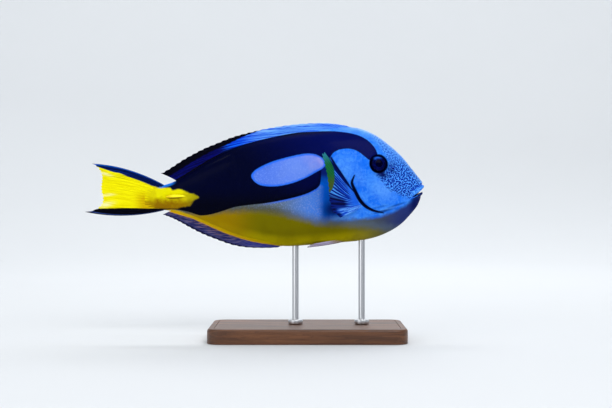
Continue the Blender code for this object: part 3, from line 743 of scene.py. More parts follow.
class Finish:
    """A material, and the nodes that vary it."""

    def __init__(self, name, **sockets):
        self.material = bpy.data.materials.new(name)
        self.material.use_nodes = True
        self.tree = self.material.node_tree
        self.shader = self.tree.nodes["Principled BSDF"]
        for socket, value in sockets.items():
            self.feed(self.shader.inputs[socket.replace("_", " ")], value)
        coordinates = self.node("ShaderNodeTexCoord")
        self.place = self.vector("MULTIPLY_ADD", coordinates.outputs["Object"], (1000,) * 3, tuple(-LIFT_MM))
        split = self.node("ShaderNodeSeparateXYZ", inputs={"Vector": self.place})
        self.x, self.z = (Value(self, split.outputs[axis]) for axis in (0, 2))

    def feed(self, socket, value):
        if isinstance(value, Value):
            value = value.socket
        if isinstance(value, bpy.types.NodeSocket):
            self.tree.links.new(value, socket)
        else:
            socket.default_value = value

    def node(self, kind, settings=None, inputs=None):
        """Adds a node, with its settings first and then the values or links of its sockets."""
        made = self.tree.nodes.new(kind)
        for key, value in (settings or {}).items():
            setattr(made, key, value)
        for key, value in (inputs or {}).items():
            self.feed(made.inputs[key], value)
        return made

    def math(self, operation, a, b=0.0):
        return Value(self, self.node("ShaderNodeMath", {"operation": operation}, {0: a, 1: b}).outputs[0])

    def vector(self, operation, a, b, c=(0, 0, 0)):
        settings = {"operation": operation}
        return self.node("ShaderNodeVectorMath", settings, {0: a, 1: b, 2: c}).outputs[0]

    def stretched(self, x, y, z):
        """Places in millimetres, with each axis scaled."""
        return self.vector("MULTIPLY", self.place, (x, y, z))

    def marking(self, name):
        """A number kept with the mesh."""
        made = self.node("ShaderNodeAttribute", {"attribute_name": name})
        return Value(self, made.outputs["Fac"])

    def ease(self, value, low, high):
        """0 at low and 1 at high, with a smooth start and end."""
        settings = {"interpolation_type": "SMOOTHSTEP", "clamp": True}
        if low < high:
            inputs = {"Value": value, "From Min": low, "From Max": high, "To Min": 0.0, "To Max": 1.0}
        else:
            inputs = {"Value": value, "From Min": high, "From Max": low, "To Min": 1.0, "To Max": 0.0}
        return Value(self, self.node("ShaderNodeMapRange", settings, inputs).outputs["Result"])

    def noise(self, scale, detail=2.0, place=None, roughness=0.5, distortion=0.0):
        """Noise from about 0 to 1, with its scale in turns a millimetre."""
        inputs = {
            "Vector": self.place if place is None else place,
            "Scale": scale,
            "Detail": detail,
            "Roughness": roughness,
            "Distortion": distortion,
        }
        return Value(self, self.node("ShaderNodeTexNoise", {}, inputs).outputs["Fac"])

    def cells(self, x, y, feature="F1", randomness=1.0):
        """Distance to the middle of the nearest flat cell about 1 across, or to its edge."""
        settings = {"feature": feature, "voronoi_dimensions": "2D"}
        inputs = {"Vector": self.combined(x, y), "Scale": 1.0, "Randomness": randomness}
        return Value(self, self.node("ShaderNodeTexVoronoi", settings, inputs).outputs["Distance"])

    def combined(self, x, y):
        """A vector from two numbers."""
        return self.node("ShaderNodeCombineXYZ", inputs={"X": x, "Y": y}).outputs[0]

    def streaks(self, across, onward, detail=3.0):
        """Noise over two numbers, drawn out along the one that changes more slowly."""
        return self.noise(1.0, detail, self.combined(across, onward))

    def mix(self, share, a, b):
        """Colour a, turning into colour b as the share goes to 1."""
        made = self.node("ShaderNodeMix", {"data_type": "RGBA"}, {0: share, 6: a, 7: b})
        return made.outputs[2]

    def layers(self, colour, *steps):
        """Paints layers of (share, colour) over one another."""
        for share, over in steps:
            colour = self.mix(share, colour, over)
        return colour

    def colour(self, value):
        self.feed(self.shader.inputs["Base Color"], value)

    def roughness(self, value):
        self.feed(self.shader.inputs["Roughness"], value)

    def bump(self, height, distance_mm, strength=1.0):
        inputs = {"Height": height, "Distance": distance_mm * MM, "Strength": strength}
        self.feed(self.shader.inputs["Normal"], self.node("ShaderNodeBump", {}, inputs).outputs["Normal"])


# The skin
def ring_places():
    """Places of the skin's rings along the body, and the size of each as a share of its section."""
    fine = np.linspace(STATIONS[0][0], TAIL_WEDGE[-1][0], 4001)
    steps = np.array(RING_STEPS)
    spacing = np.interp(-fine, -steps[:, 0], steps[:, 1])
    number = np.concatenate(((0,), np.cumsum(-np.diff(fine) / spacing[:-1])))
    count = int(round(number[-1]))
    x = np.interp(np.linspace(0, number[-1], count + 1), number, fine)
    turn = np.linspace(0, math.pi / 2, CAP_RINGS + 1)[:-1]
    ahead = x[0] + CAP_LENGTH * np.cos(turn)
    behind = x[-1] - CAP_LENGTH * np.cos(turn[::-1])
    size = np.concatenate((np.sin(turn), np.ones(len(x)), np.sin(turn[::-1])))
    return np.concatenate((ahead, x, behind)), size


def quarter(half, reach, count):
    """Evenly spaced points on a quarter of a section, from its side to its top."""
    turn = np.linspace(0, math.pi / 2, 361)
    power = 2 / SECTION_FULLNESS
    y, z = half * np.cos(turn) ** power, reach * np.sin(turn) ** power
    length = np.concatenate(((0,), np.cumsum(np.hypot(np.diff(y), np.diff(z)))))
    even = np.linspace(0, length[-1], count + 1)
    return np.interp(even, length, y), np.interp(even, length, z)


def section_ring(half, up, down, level):
    """One ring of the skin, round from the left side over the back."""
    count = SKIN_AROUND // 4
    top_y, top_z = quarter(half, up, count)
    low_y, low_z = quarter(half, down, count)
    y = np.concatenate((top_y[:-1], -top_y[:0:-1], -low_y[:-1], low_y[:0:-1]))
    z = np.concatenate((top_z[:-1], top_z[:0:-1], -low_z[:-1], -low_z[:0:-1]))
    return y, level + z


def skin_grid():
    """The body's plain surface, as rings of points from the lips to the tail."""
    x, size = ring_places()
    back, belly, half, level = station(x, SKIN_BODY)
    grid = np.zeros((len(x), SKIN_AROUND, 3))
    for n, place in enumerate(x):
        y, z = section_ring(half[n], back[n] - level[n], level[n] - belly[n], level[n])
        grid[n, :, 0] = place
        grid[n, :, 1] = y * size[n]
        grid[n, :, 2] = level[n] + (z - level[n]) * size[n]
    return grid


def skin_distances(grid):
    """Distances over the skin: back from the lips along the side, and up it from its widest level."""
    rings, around = grid.shape[:2]
    steps = np.diff(grid[:, 0], axis=0)
    run = np.concatenate(((0,), np.cumsum(np.linalg.norm(steps, axis=1))))
    widest = around // 4
    left = (np.arange(2 * widest + 1) - widest) % around
    steps = np.linalg.norm(np.diff(grid[:, left], axis=1), axis=2)
    length = np.hstack((np.zeros((rings, 1)), np.cumsum(steps, axis=1)))
    girth = np.zeros((rings, around))
    for half in (left, (2 * widest - left) % around):
        girth[:, half] = length - length[:, [widest]]
    return np.repeat(run, around), girth.ravel()


def as_seen(places):
    """Where places on the fish appear beside its midline, seen from the photo's viewpoint."""
    nearer = VIEW_DISTANCE / (VIEW_DISTANCE - np.abs(places[:, 1]))
    x, z = ((places[:, axis] - middle) * nearer + middle for axis, middle in zip((0, 2), VIEW_MIDDLE))
    return x, z


def grid_normals(grid):
    """Outward directions of a grid that closes round its rings."""
    along = np.gradient(grid, axis=0)
    around = (np.roll(grid, -1, 1) - np.roll(grid, 1, 1)) / 2
    normal = np.cross(along, around)
    length = np.linalg.norm(normal, axis=2, keepdims=True)
    normal = normal / np.maximum(length, 1e-9)
    normal[0] = (1, 0, 0)
    normal[-1] = (-1, 0, 0)
    return normal


def mouth_line(x):
    """Level of the line between the jaws."""
    return MOUTH_CORNER[1] + MOUTH_SLOPE * (x - MOUTH_CORNER[0])


def mouth_share(x):
    """0 at the corner of the mouth and behind it, and 1 at the front of the lips."""
    return np.clip((x - MOUTH_CORNER[0]) / (MOUTH_FRONT[0] - MOUTH_CORNER[0]), 0, 1)


def mouth_gap(x):
    """Half the gap between the lips."""
    return between(MOUTH_HALF_OPEN, mouth_share(x) ** 2)


def off_mouth(x, z):
    """Distance above the line between the jaws, square to it."""
    return (z - mouth_line(x)) * math.cos(math.atan(MOUTH_SLOPE))


def on_flank(x, z):
    """A place on the left flank."""
    return np.array((x, float(flank(x, z)), z))


def away_from(mirrored, x, z):
    """Distance from a place on the left flank."""
    return np.linalg.norm(mirrored - on_flank(x, z), axis=1)


def beside_path(points, count, x, z):
    """Distance from a path of (place, level, size) points, the side of it, and its size there."""
    path = path_through(points, count)
    away, share, side = nearest_on(path, x, z)
    return away, side, np.interp(share, np.linspace(0, 1, count), path[:, 2])


def left_side(places):
    """The places, with those of the right side mirrored to the left."""
    return places * (1, 0, 1) + np.abs(places) * (0, 1, 0)


def mouth_relief(places):
    """Rise of the lips out of the skin, and how far the slit between them goes in."""
    x, z = places[:, 0], places[:, 2]
    off = off_mouth(x, z)
    gap, share = mouth_gap(x), mouth_share(x)
    present = ease(x, MOUTH_CORNER[0] - 1.4, MOUTH_CORNER[0] + 1.4)
    rise = np.zeros(len(x))
    for lip, sign in (("upper", 1), ("lower", -1)):
        radius = between(LIP_RADII[lip], share)
        away = np.clip((sign * off - gap - radius * 0.9) / (radius * 1.25), -1, 1)
        rise += present * LIP_HEIGHT * radius * (0.5 + 0.5 * np.cos(math.pi * away))
    crease = present * 0.22 * hump(off - gap - LIP_RADII["upper"][1] * 2.3, 0.5)
    back = LIP_SET_BACK * ease(x, 111.5, 115.0) * (1 - ease(np.abs(off), 3.0, 5.5))
    slit = present * between(MOUTH_DEPTH, share) * (1 - ease(np.abs(off), gap - 0.05, gap + 0.32))
    return rise - back - crease, slit


def gill_relief(x, z):
    """Rise of the gill cover's edge and the groove behind it, and of the cheek's edge above them."""
    away, side, size = beside_path(GILL_OPENING, 40, x, z)
    groove = hump(np.where(side > 0, away / 0.55, away / 1.25))
    lip = raised(GILL_LIP, away * side)
    relief = size / 1.2 * (lip - GILL_DEPTH * groove) * (1 - ease(away, 6.0, 9.0))
    away, side, size = beside_path(CHEEK_EDGE, 30, x, z)
    return relief + size * (raised(CHEEK_LIP, away * side) + raised(CHEEK_GROOVE, away))


def skin_relief(places):
    """Everything raised from the plain surface or sunk into it, but the slit of the mouth."""
    x, z = places[:, 0], places[:, 2]
    mirrored = left_side(places)
    from_middle = np.abs(places[:, 1])

    def swelling(height, middle_x, middle_z, along, up):
        return height * hump(np.hypot((x - middle_x) / along, (z - middle_z) / up))

    from_eye = away_from(mirrored, *EYE_PLACE)
    relief = raised(SOCKET_RIM, from_eye)
    relief -= SOCKET_HOLLOW[0] * (1 - ease(from_eye, *SOCKET_HOLLOW[1:]))
    relief += swelling(*BROW) * ease(from_middle, 2, 6)
    for nostril_x, nostril_z, radius in NOSTRILS:
        away = away_from(mirrored, nostril_x, nostril_z)
        relief += raised(NOSTRIL_RIM, away - radius)
        relief -= NOSTRIL_DEPTH * (1 - ease(away, radius * 0.35, radius + 0.1))
    relief += gill_relief(*as_seen(places)) * ease(from_middle, 1.5, 4.0)
    for place in SWELLINGS:
        relief += swelling(*place)
    rear, front = SPINE_GROOVE_ENDS
    return relief + raised(SPINE_GROOVE, z - SPINE_LEVEL) * ease(x, *rear) * (1 - ease(x, *front))


def shaped_skin(grid):
    """The body's surface with its lips, mouth, gills, eye sockets and nostrils."""
    normal = grid_normals(grid).reshape(-1, 3)
    places = grid.reshape(-1, 3)
    lips, slit = mouth_relief(places)
    moved = places + normal * (skin_relief(places) + lips)[:, None]
    throat = np.array((THROAT_X, 0, float(mouth_line(THROAT_X))))
    inward = throat - places
    inward /= np.linalg.norm(inward, axis=1, keepdims=True)
    moved += inward * slit[:, None]
    off = off_mouth(places[:, 0], places[:, 2])
    jaw = ease(-off, 0.4, 1.6) * ease(places[:, 0], 109, 113.5) * (1 - ease(-places[:, 2], 10, 15))
    moved[:, 0] -= JAW_SET_BACK * jaw
    moved[:, 0] = np.minimum(moved[:, 0], SNOUT_LIMIT)
    return moved, slit


def mark_skin(piece, places, slit):
    """Keeps with the skin what its paint follows."""
    back, belly = station(places[:, 0])[:2]
    mark(piece, "crest", back - places[:, 2])
    mark(piece, "keel", places[:, 2] - belly)
    mark(piece, "off_mouth", off_mouth(places[:, 0], places[:, 2]))
    mark(piece, "slit", slit)
    mirrored = left_side(places)
    mark(piece, "from_eye", away_from(mirrored, *EYE_PLACE))
    nostrils = [away_from(mirrored, x, z) - radius for x, z, radius in NOSTRILS]
    mark(piece, "nostril", np.minimum(*nostrils))
    x, z = as_seen(places)
    for name, outline in MARKS.items():
        mark(piece, name, depth_in(outline, x, z))
    for name, limit in (("belly", BELLY_LIMIT), ("chin", CHIN_LIMIT)):
        mark(piece, name, np.interp(x, *np.array(limit).T) - z)
    for name, table in (("glow", GLOW_PATCHES), ("shade", SHADE_AND_STREAK_PATCHES)):
        mark(piece, name, patches(table, x, z))
    away, side, radius = beside_path(GILL_OPENING, 40, x, z)
    mark(piece, "gill", away - radius * np.where(side > 0, 0.45, 0.95))
    # distance from the cheek's edge, along which a painted shadow runs
    away, side, radius = beside_path(CHEEK_EDGE, 30, x, z)
    mark(piece, "cheek_edge_shadow", away - 0.75 * radius)


def fish_skin():
    """The whole skin, drawn from a ball whose poles are the lips and the tail."""
    grid = skin_grid()
    rings = len(grid) - 1
    piece, ball = ball_piece(SKIN_AROUND, rings, "skin", skin_paint())
    ring = np.rint(np.arccos(np.clip(ball[:, 2], -1, 1)) / math.pi * rings).astype(int)
    turn = np.arctan2(ball[:, 1], ball[:, 0]) / (2 * math.pi)
    around = np.rint(turn * SKIN_AROUND).astype(int) % SKIN_AROUND
    order = ring * SKIN_AROUND + around
    moved, slit = shaped_skin(grid)
    for end in (moved[:SKIN_AROUND], moved[-SKIN_AROUND:]):
        end[:] = end.mean(0)
    move_points(piece, moved[order])
    mark_skin(piece, grid.reshape(-1, 3)[order], slit[order])
    for name, distance in zip(("run", "girth"), skin_distances(grid)):
        mark(piece, name, distance[order])
    smooth(piece)
    return settle(piece, "head", "trunk", "tail_stem")


def skin_paint():
    """Cobalt skin with its black mark, pale forehead, freckled snout, grey chin and golden belly, with
    painted highlights and painted shade.
    """
    skin = Finish("painted_skin", Coat_Weight=0.02, Coat_Roughness=0.1, Specular_IOR_Level=0.015)
    mix, ease, noise, cells, read = skin.mix, skin.ease, skin.noise, skin.cells, skin.marking
    x, z, run, girth, crest = skin.x, skin.z, read("run"), read("girth"), read("crest")
    wander = noise(0.28, 3.0) - 0.5
    fine = noise(1.6, 3.0) - 0.5
    blotch = noise(0.11, 3.0)

    # Dark freckles that run together on the snout, finer towards the forehead
    freckle = ease(cells(run * 0.96 + fine * 0.5, girth * 0.96 - fine * 0.4), 0.54, 0.34)
    small = ease(cells(run * 1.04 + fine * 0.3, girth * 1.04 + fine * 0.3), 0.49, 0.31)
    snout = ease(read("snout") + wander * 5.0, -1.0, 1.6)
    high = ease(z - x * 0.25, -14.0, 0.0)
    pattern = freckle * (1 - high) + small * high * 0.85
    plain = mix(high, paint(70, 148, 248), paint(84, 156, 248))
    freckled = mix(pattern, plain, mix(high, paint(0, 26, 146), paint(10, 60, 190)))

    # Cheek, and a painted rim highlight over the forehead
    # The pale rim and the brighter crest line below are painted highlights along the forehead's edge
    rim = ease(crest + wander * 2.5, 7.0, 0.5) * ease(x, 52.0, 64.0)
    streak = noise(1.0, 2.0, skin.stretched(0.25, 0.5, 1.3))
    crest_highlight = ease(crest + fine * 1.5 + wander * 2.5, 2.2, 0.2) * ease(x, 62.0, 76.0)
    head = skin.layers(
        paint(18, 110, 240),
        (ease(blotch, 0.42, 0.62) * 0.6, paint(64, 144, 246)),
        (ease(noise(0.45, 4.0), 0.46, 0.62) * 0.3, paint(84, 160, 250)),
        (read("glow") * 0.8, paint(102, 170, 250)),
        (ease(noise(0.6, 3.0), 0.52, 0.36) * 0.3, paint(14, 90, 226)),
        (snout, freckled),
        # painted rim highlight, streaked, then a brighter painted highlight on the crest line
        (rim * (0.6 - pattern * snout * 0.3), paint(104, 170, 250)),
        (rim * ease(streak, 0.45, 0.65) * 0.4, paint(48, 124, 236)),
        (crest_highlight * (0.7 - pattern * snout * 0.5), paint(160, 202, 255)),
    )

    # Blue side behind the head, paling to lavender below the black mark
    band = skin.layers(
        paint(6, 28, 104),
        (ease(z + wander * 2.0, 9.0, 0.0), paint(0, 98, 218)),
        (ease(z + wander * 3.0, -8.0, -17.0), paint(0, 90, 200)),
        (ease(z, 25.0, 28.0), paint(70, 143, 236)),
    )
    lavender = skin.layers(
        paint(92, 108, 122),
        (ease(x, 14.0, 44.0), paint(74, 132, 232)),
        (ease(noise(1.1, 2.0), 0.5, 0.66) * 0.45, paint(134, 156, 220)),
        (ease(z, 12.0, 22.0), paint(70, 143, 236)),
    )
    rearward = x + wander * 2.5 + ease(z, -1.0, 4.0) * ease(z, 24.0, 19.0) * 5.0

    # Grey chin and golden belly, both with blurred edges
    chin = ease(read("chin") + wander * 3.0, -1.6, 2.4) * (1 - ease(x + wander * 3.0, 51.0, 45.0))
    belly_depth = read("belly") + wander * 3.5
    # The belly's yellow is painted dull olive, partly as painted shade, and lighter towards the keel as
    # painted light reflected from below
    gold = skin.layers(
        paint(112, 104, 0),
        (ease(read("keel"), 9.0, 2.0), paint(166, 152, 3)),
        (ease(blotch, 0.4, 0.7) * 0.35, paint(98, 90, 0)),
        (ease(x, 6.0, -20.0) * 0.7, paint(158, 122, 0)),
        (ease(x, 60.0, 96.0), paint(84, 84, 58)),
    )
    haze = mix(ease(x, 34.0, 10.0), paint(84, 98, 118), paint(70, 68, 38))
    seam = ease(read("keel") + fine * 0.6, 2.2, 0.5) * ease(x, 24.0, 4.0)

    # The black mark, with a bright rim along its lower edge, the oval inside it, and the yellow wedge
    black = read("black") + fine * 0.35
    deep = skin.layers(
        paint(0, 3, 34),
        (ease(x + z * 0.9, 2.0, 92.0), paint(0, 9, 82)),
        (ease(black, 3.2, 0.4) * (0.75 - ease(x, 34.0, 56.0) * 0.6), paint(0, 1, 14)),
        (ease(z, 0.0, -14.0) * 0.75, paint(0, 1, 10)),
    )
    black_rim = ease(black, -1.6, -0.3) * ease(x, 2.0, 20.0) * ease(x, 45.5, 42.5)
    oval = read("oval") + fine * 0.5
    inside = skin.layers(
        paint(76, 116, 222),
        (ease(x, 4.0, 30.0), paint(104, 140, 234)),
        (ease(x + z, 44.0, 62.0) * 0.7, paint(156, 152, 224)),
        (ease(blotch, 0.44, 0.6) * 0.45, paint(88, 128, 234)),
        (ease(noise(0.9, 3.0), 0.5, 0.66) * 0.3, paint(132, 164, 244)),
        (ease(oval + wander * 1.2, 2.0, 0.5) * 0.9, paint(30, 106, 240)),
    )
    yellow = skin.layers(
        paint(230, 222, 1),
        (ease(z + wander * 6.0, -6.5, -12.0), paint(144, 106, 1)),
        (ease(blotch, 0.45, 0.6) * 0.35, paint(190, 166, 2)),
        (ease(x, -51.0, -38.0) * 0.85, paint(136, 126, 8)),
    )
    stem_rim = ease(crest, 2.6, 0.8) * ease(x, -52.0, -57.0) * ease(x, -67.0, -63.0)

    # Lips and jaw: the upper lip's pale band is partly a painted highlight, and the crease above it and the
    # lower jaw carry painted shade
    off = read("off_mouth")
    upper_lip = ease(x, 105.0, 107.0) * ease(off, 0.3, 0.9) * ease(off + fine, 4.2, 3.0)
    crease = ease(x, 104.5, 107.0) * ease(off, 3.2, 4.2) * ease(off, 5.6, 4.6)
    jaw = ease(x, 103.5, 108.5) * ease(off, -0.4, -1.1) * ease(off, -9.5, -7.0)

    painted = skin.layers(
        head,
        (ease(x + wander * 2.0, 53.0, 50.0), band),
        (ease(rearward, 48.0, 43.0), lavender),
        # painted shade patches, with a few dark streaks on the cheek
        (read("shade"), paint(0, 12, 84)),
        (chin, mix(ease(x, 74.0, 104.0), paint(72, 78, 76), paint(36, 50, 112))),
        (ease(belly_depth, -7.5, -1.0) * 0.8, haze),
        (ease(belly_depth, -3.4, 3.0), gold),
        (seam * 0.9, paint(220, 184, 4)),
        (black_rim * 0.75, paint(26, 96, 240)),
        (ease(black, -0.28, 0.28), deep),
        (ease(oval, -0.3, 0.35), inside),
        (ease(read("yellow") + fine * 0.9 + wander * 1.6, -0.7, 0.8), yellow),
        (stem_rim * 0.9, paint(28, 120, 232)),
        # light upper lip, partly a painted highlight along its rim
        (upper_lip * 0.8, mix(ease(noise(0.9, 3.0), 0.44, 0.6), paint(40, 122, 240), paint(96, 172, 250))),
        # painted shade in the crease above the upper lip
        (crease * 0.5, paint(8, 60, 190)),
        # lower jaw darkened as painted shade under the upper lip
        (jaw * 0.92, paint(4, 16, 82)),
        # painted shade inside the slit of the mouth
        (ease(read("slit"), 0.5, 1.6), paint(6, 5, 26)),
        # painted shade in the gill opening
        (ease(read("gill") + fine * 0.3, 0.5, -0.2), paint(0, 3, 38)),
        # painted shadow along the cheek's edge, cast by the pectoral fin's leading edge
        (ease(read("cheek_edge_shadow"), 0.5, -0.25), paint(0, 6, 66)),
        (ease(read("from_eye") + fine * 0.3, 6.9, 6.1), paint(0, 3, 44)),
        # painted shade in the nostrils' pits
        (ease(read("nostril"), 0.35, -0.25), paint(0, 6, 60)),
    )
    skin.colour(painted)
    skin.roughness(noise(0.8, 3.0) * 0.16 + 0.3)
    scales = ease(cells(run * 0.9, girth * 1.3, "DISTANCE_TO_EDGE", 0.75), 0.0, 0.28)
    skin.bump(scales + noise(0.35, 3.0) * 1.5 + freckle * snout * 0.6, 0.05)
    return skin.material


# Fins
def ray_relief(u, v, rays, split):
    """1 on a ray and 0 between two. Beyond a share of its length each ray parts in two."""
    number = u * (rays - 1)
    apart = 0.25 * ease(v, split, 1.15)
    relief = np.zeros(len(u))
    for branch in (-1, 1):
        away = number + branch * apart
        relief = np.maximum(relief, hump(away - np.rint(away), RAY_WIDTH * (1 - 0.35 * v)))
    return relief


def scalloped(u, v, rays, notch):
    """How far along its ray a point lies, with the membrane's edge drawn in between the rays."""
    return v * (1 - notch * (0.5 - 0.5 * np.cos(2 * math.pi * u * (rays - 1))))


def fin_half(v, relief, root_half, fade):
    """Half thickness of a fin: rays on a membrane, swelling to its root."""
    ray = between(RAY_HALF, v)
    thin = 1 - 0.45 * ease(v, 0.9, 1.0)
    root = np.maximum(0, 1 - v / fade) ** 1.5 * np.maximum(0, root_half - ray)
    return (MEMBRANE_HALF + (ray - MEMBRANE_HALF) * relief) * thin + root


def fin(node, material, rays, rows, places, half, split=2.0, marks=None):
    """A fin in place of its node, from its points' places and half thickness as functions of U and V."""
    clear_selection()
    columns = COLUMNS_A_RAY * (rays - 1)
    bpy.ops.mesh.primitive_grid_add(x_subdivisions=columns, y_subdivisions=rows, size=1)
    piece = named("painted_" + node, material)
    flat = points_of(piece)
    u, v = flat[:, 0] + 0.5, flat[:, 1] + 0.5
    relief = ray_relief(u, v, rays, split)
    middle = places(u, v)
    move_points(piece, middle)
    for key, values in (("ray", relief), ("along", u), ("out", v)):
        mark(piece, key, values)
    for key, outline in (marks or {}).items():
        mark(piece, key, depth_in(outline, *as_seen(middle)))
    thickness = half(u, v, relief)
    most = thickness.max()
    group = piece.vertex_groups.new(name="thickness")
    for n, share in enumerate(thickness / most):
        group.add([n], share, "REPLACE")
    wall = piece.modifiers.new("wall", "SOLIDIFY")
    wall.thickness = 2 * most * MM
    wall.offset = 0
    wall.vertex_group = group.name
    apply_modifiers(piece)
    piece.vertex_groups.clear()
    smooth(piece, 50)
    return settle(piece, node)


def folded_fin(node, material, rays, root, lean, height, sign, root_half):
    """A long fin on the midline, folded back. sign is 1 on the back and -1 on the belly."""
    edge = 0 if sign > 0 else 1

    def places(u, v):
        root_x = between(root, u)
        tip_x = root_x - curve_through(lean, u)[:, 0]
        root_z = station(root_x)[edge] - sign * FOLDED_SUNK
        tip_z = station(tip_x)[edge] + sign * curve_through(height, tip_x)[:, 0]
        reach = scalloped(u, v, rays, FOLDED_NOTCH)
        x = between((root_x, tip_x), reach ** FOLDED_BEND[0])
        z = between((root_z, tip_z), reach ** FOLDED_BEND[1])
        clear = FOLDED_CLEAR * v - FOLDED_SUNK * (1 - ease(v, 0.0, 0.1))
        lowest = station(x)[edge] + sign * clear
        z = np.maximum(z, lowest) if sign > 0 else np.minimum(z, lowest)
        return np.column_stack((x, np.zeros(len(x)), z))

    def half(u, v, relief):
        return fin_half(v, relief, root_half, 0.3)

    return fin(node, material, rays, FOLDED_ROWS, places, half)


def tail_fin():
    """The forked fin at the end of the stem, its rays spreading from the wedge."""

    def places(u, v):
        root_z = between(np.array(STATIONS[-1][1:3]) + TAIL_ROOT_SPREAD, u)
        tip_x, tip_z = curve_through(TAIL_TIP_X, u)[:, 0], curve_through(TAIL_TIP_Z, u)[:, 0]
        reach = scalloped(u, v, TAIL_RAYS, TAIL_NOTCH)
        x = between((TAIL_ROOT_X, tip_x), reach)
        z = between((root_z, tip_z), reach) + TAIL_BULGE * (1 - 2 * u) * 4 * reach * (1 - reach)
        return np.column_stack((x, np.zeros(len(x)), z))

    def half(u, v, relief):
        swell = np.sqrt(np.maximum(0, 1 - (2 * u - 1) ** 2))
        root = (0.3 + 1.1 * swell) * np.maximum(0, 1 - v / 0.4) ** 1.4
        return fin_half(v, relief, RAY_HALF[0], 0.3) + root

    marks = {"yellow": YELLOW_MARK}
    piece = fin("tail_fin", tail_paint(), TAIL_RAYS, TAIL_ROWS, places, half, 0.4, marks)
    reached = fish_points(piece)
    mark(piece, "pale", patches(PALE_PATCHES, reached[:, 0], reached[:, 2]))
    return piece


def pectoral_fin(label, side):
    """A spread fin behind the gills, standing out. side is 1 for the fish's left and -1 for its right."""

    def places(u, v):
        root_x, root_z = (between(ends, u) for ends in zip(*PECTORAL_ROOT))
        tip = curve_through(PECTORAL_TIP, u)
        out = curve_through(PECTORAL_OUT, u)[:, 0]
        reach = scalloped(u, v, PECTORAL_RAYS, PAIRED_NOTCH)
        back, rise = (reach**power for power in curve_through(PECTORAL_BEND, u).T)
        x = between((root_x, tip[:, 0]), back)
        y = flank(root_x, root_z) - PECTORAL_SUNK + (out + PECTORAL_SUNK) * reach**PECTORAL_SWING
        z = between((root_z, tip[:, 1]), rise)
        return np.column_stack((x, side * y, z))

    def half(u, v, relief):
        return fin_half(v, relief, 1.4, 0.35)

    node = f"pectoral_fin_{label}"
    marks = {"green": GREEN_MARK}
    return fin(node, pectoral_paint(), PECTORAL_RAYS, PECTORAL_ROWS, places, half, 0.5, marks)


def pelvic_fin(label, side):
    """A narrow fin folded back along the belly."""

    def places(u, v):
        root = np.outer(1 - u, PELVIC_ROOT[0]) + np.outer(u, PELVIC_ROOT[1])
        start = np.column_stack((root, underside(root[:, 0], root[:, 1]) + PELVIC_SUNK))
        tip = np.outer(1 - u, PELVIC_TIP[0]) + np.outer(u, PELVIC_TIP[1])
        reach = scalloped(u, v, PELVIC_RAYS, PAIRED_NOTCH)
        lean = reach[:, None] ** np.array(PELVIC_BEND)
        return (start + (tip - start) * lean) * (1, side, 1)

    def half(u, v, relief):
        return fin_half(v, relief, 0.85, 0.35)

    node = f"pelvic_fin_{label}"
    return fin(node, pelvic_paint(), PELVIC_RAYS, PELVIC_ROWS, places, half, 0.6)


def fin_finish(name):
    """A cast fin's finish, and the rays and places across and out that its paint follows."""
    finish = Finish(name, Coat_Weight=0.01, Coat_Roughness=0.2, Specular_IOR_Level=0.02, Roughness=0.42)
    return finish, *(finish.marking(key) for key in ("ray", "along", "out"))


def dorsal_paint():
    """Bright blue with pale streaks that whiten towards the edge as a painted highlight, dark behind, with a
    black margin and base.
    """
    coat, ray, along, out = fin_finish("dorsal_paint")
    mix, ease, x = coat.mix, coat.ease, coat.x
    streaks = coat.streaks(along * 7.0, (out - along * 2.5) * 8.0)
    front = coat.layers(
        paint(6, 78, 220),
        (ease(streaks, 0.4, 0.58), paint(96, 164, 248)),
        (ease(ray, 0.3, 0.9) * 0.25, paint(110, 172, 252)),
        # whiter streaks towards the outer edge: a painted highlight
        (ease(out, 0.55, 0.95) * ease(streaks, 0.44, 0.6) * 0.6, paint(156, 202, 255)),
        (ease(x, 12.0, -12.0), mix(ease(streaks, 0.4, 0.64), paint(0, 44, 206), paint(20, 104, 240))),
    )
    rear = mix(ease(streaks, 0.4, 0.65), paint(2, 4, 66), paint(5, 9, 108))
    turn = ease(x + (out - 0.5) * 9.0 + (streaks - 0.5) * 20.0, -25.0, -14.0)
    margin = 0.56 + ease(x, -24.0, 12.0) * 0.47
    black = ease(out - margin + (streaks - 0.5) * 0.06, -0.02, 0.05)
    base = ease(out, 0.2, 0.12) * ease(x, -6.0, -24.0)
    coats = (turn, front), (black, paint(2, 2, 14)), (base, paint(2, 2, 16))
    coat.colour(coat.layers(rear, *coats))
    return coat.material


def anal_paint():
    """Dusky violet blue with pale and orange streaks, a golden root and a dark edge."""
    coat, ray, along, out = fin_finish("anal_paint")
    ease, x = coat.ease, coat.x
    streaks = coat.streaks((along - out * 0.08) * 90.0, out * 2.2)
    orange = ease(streaks, 0.55, 0.66) * ease(out, 0.85, 0.3) * ease(x, 0.0, -26.0)
    root = 0.2 + ease(x, -40.0, -54.0) * 0.16
    coats = (
        (ease(x, -14.0, 0.0) * 0.7, paint(30, 40, 150)),
        (ease(streaks, 0.45, 0.57) * 0.9, paint(76, 78, 124)),
        (ease(ray, 0.4, 0.95) * 0.2, paint(90, 88, 130)),
        (orange * 0.8, paint(178, 118, 44)),
        (ease(out + (streaks - 0.5) * 0.14 - root, 0.06, -0.06), paint(214, 168, 6)),
        (ease(out, 0.78, 0.93), paint(8, 8, 50)),
    )
    coat.colour(coat.layers(paint(14, 20, 76), *coats))
    return coat.material


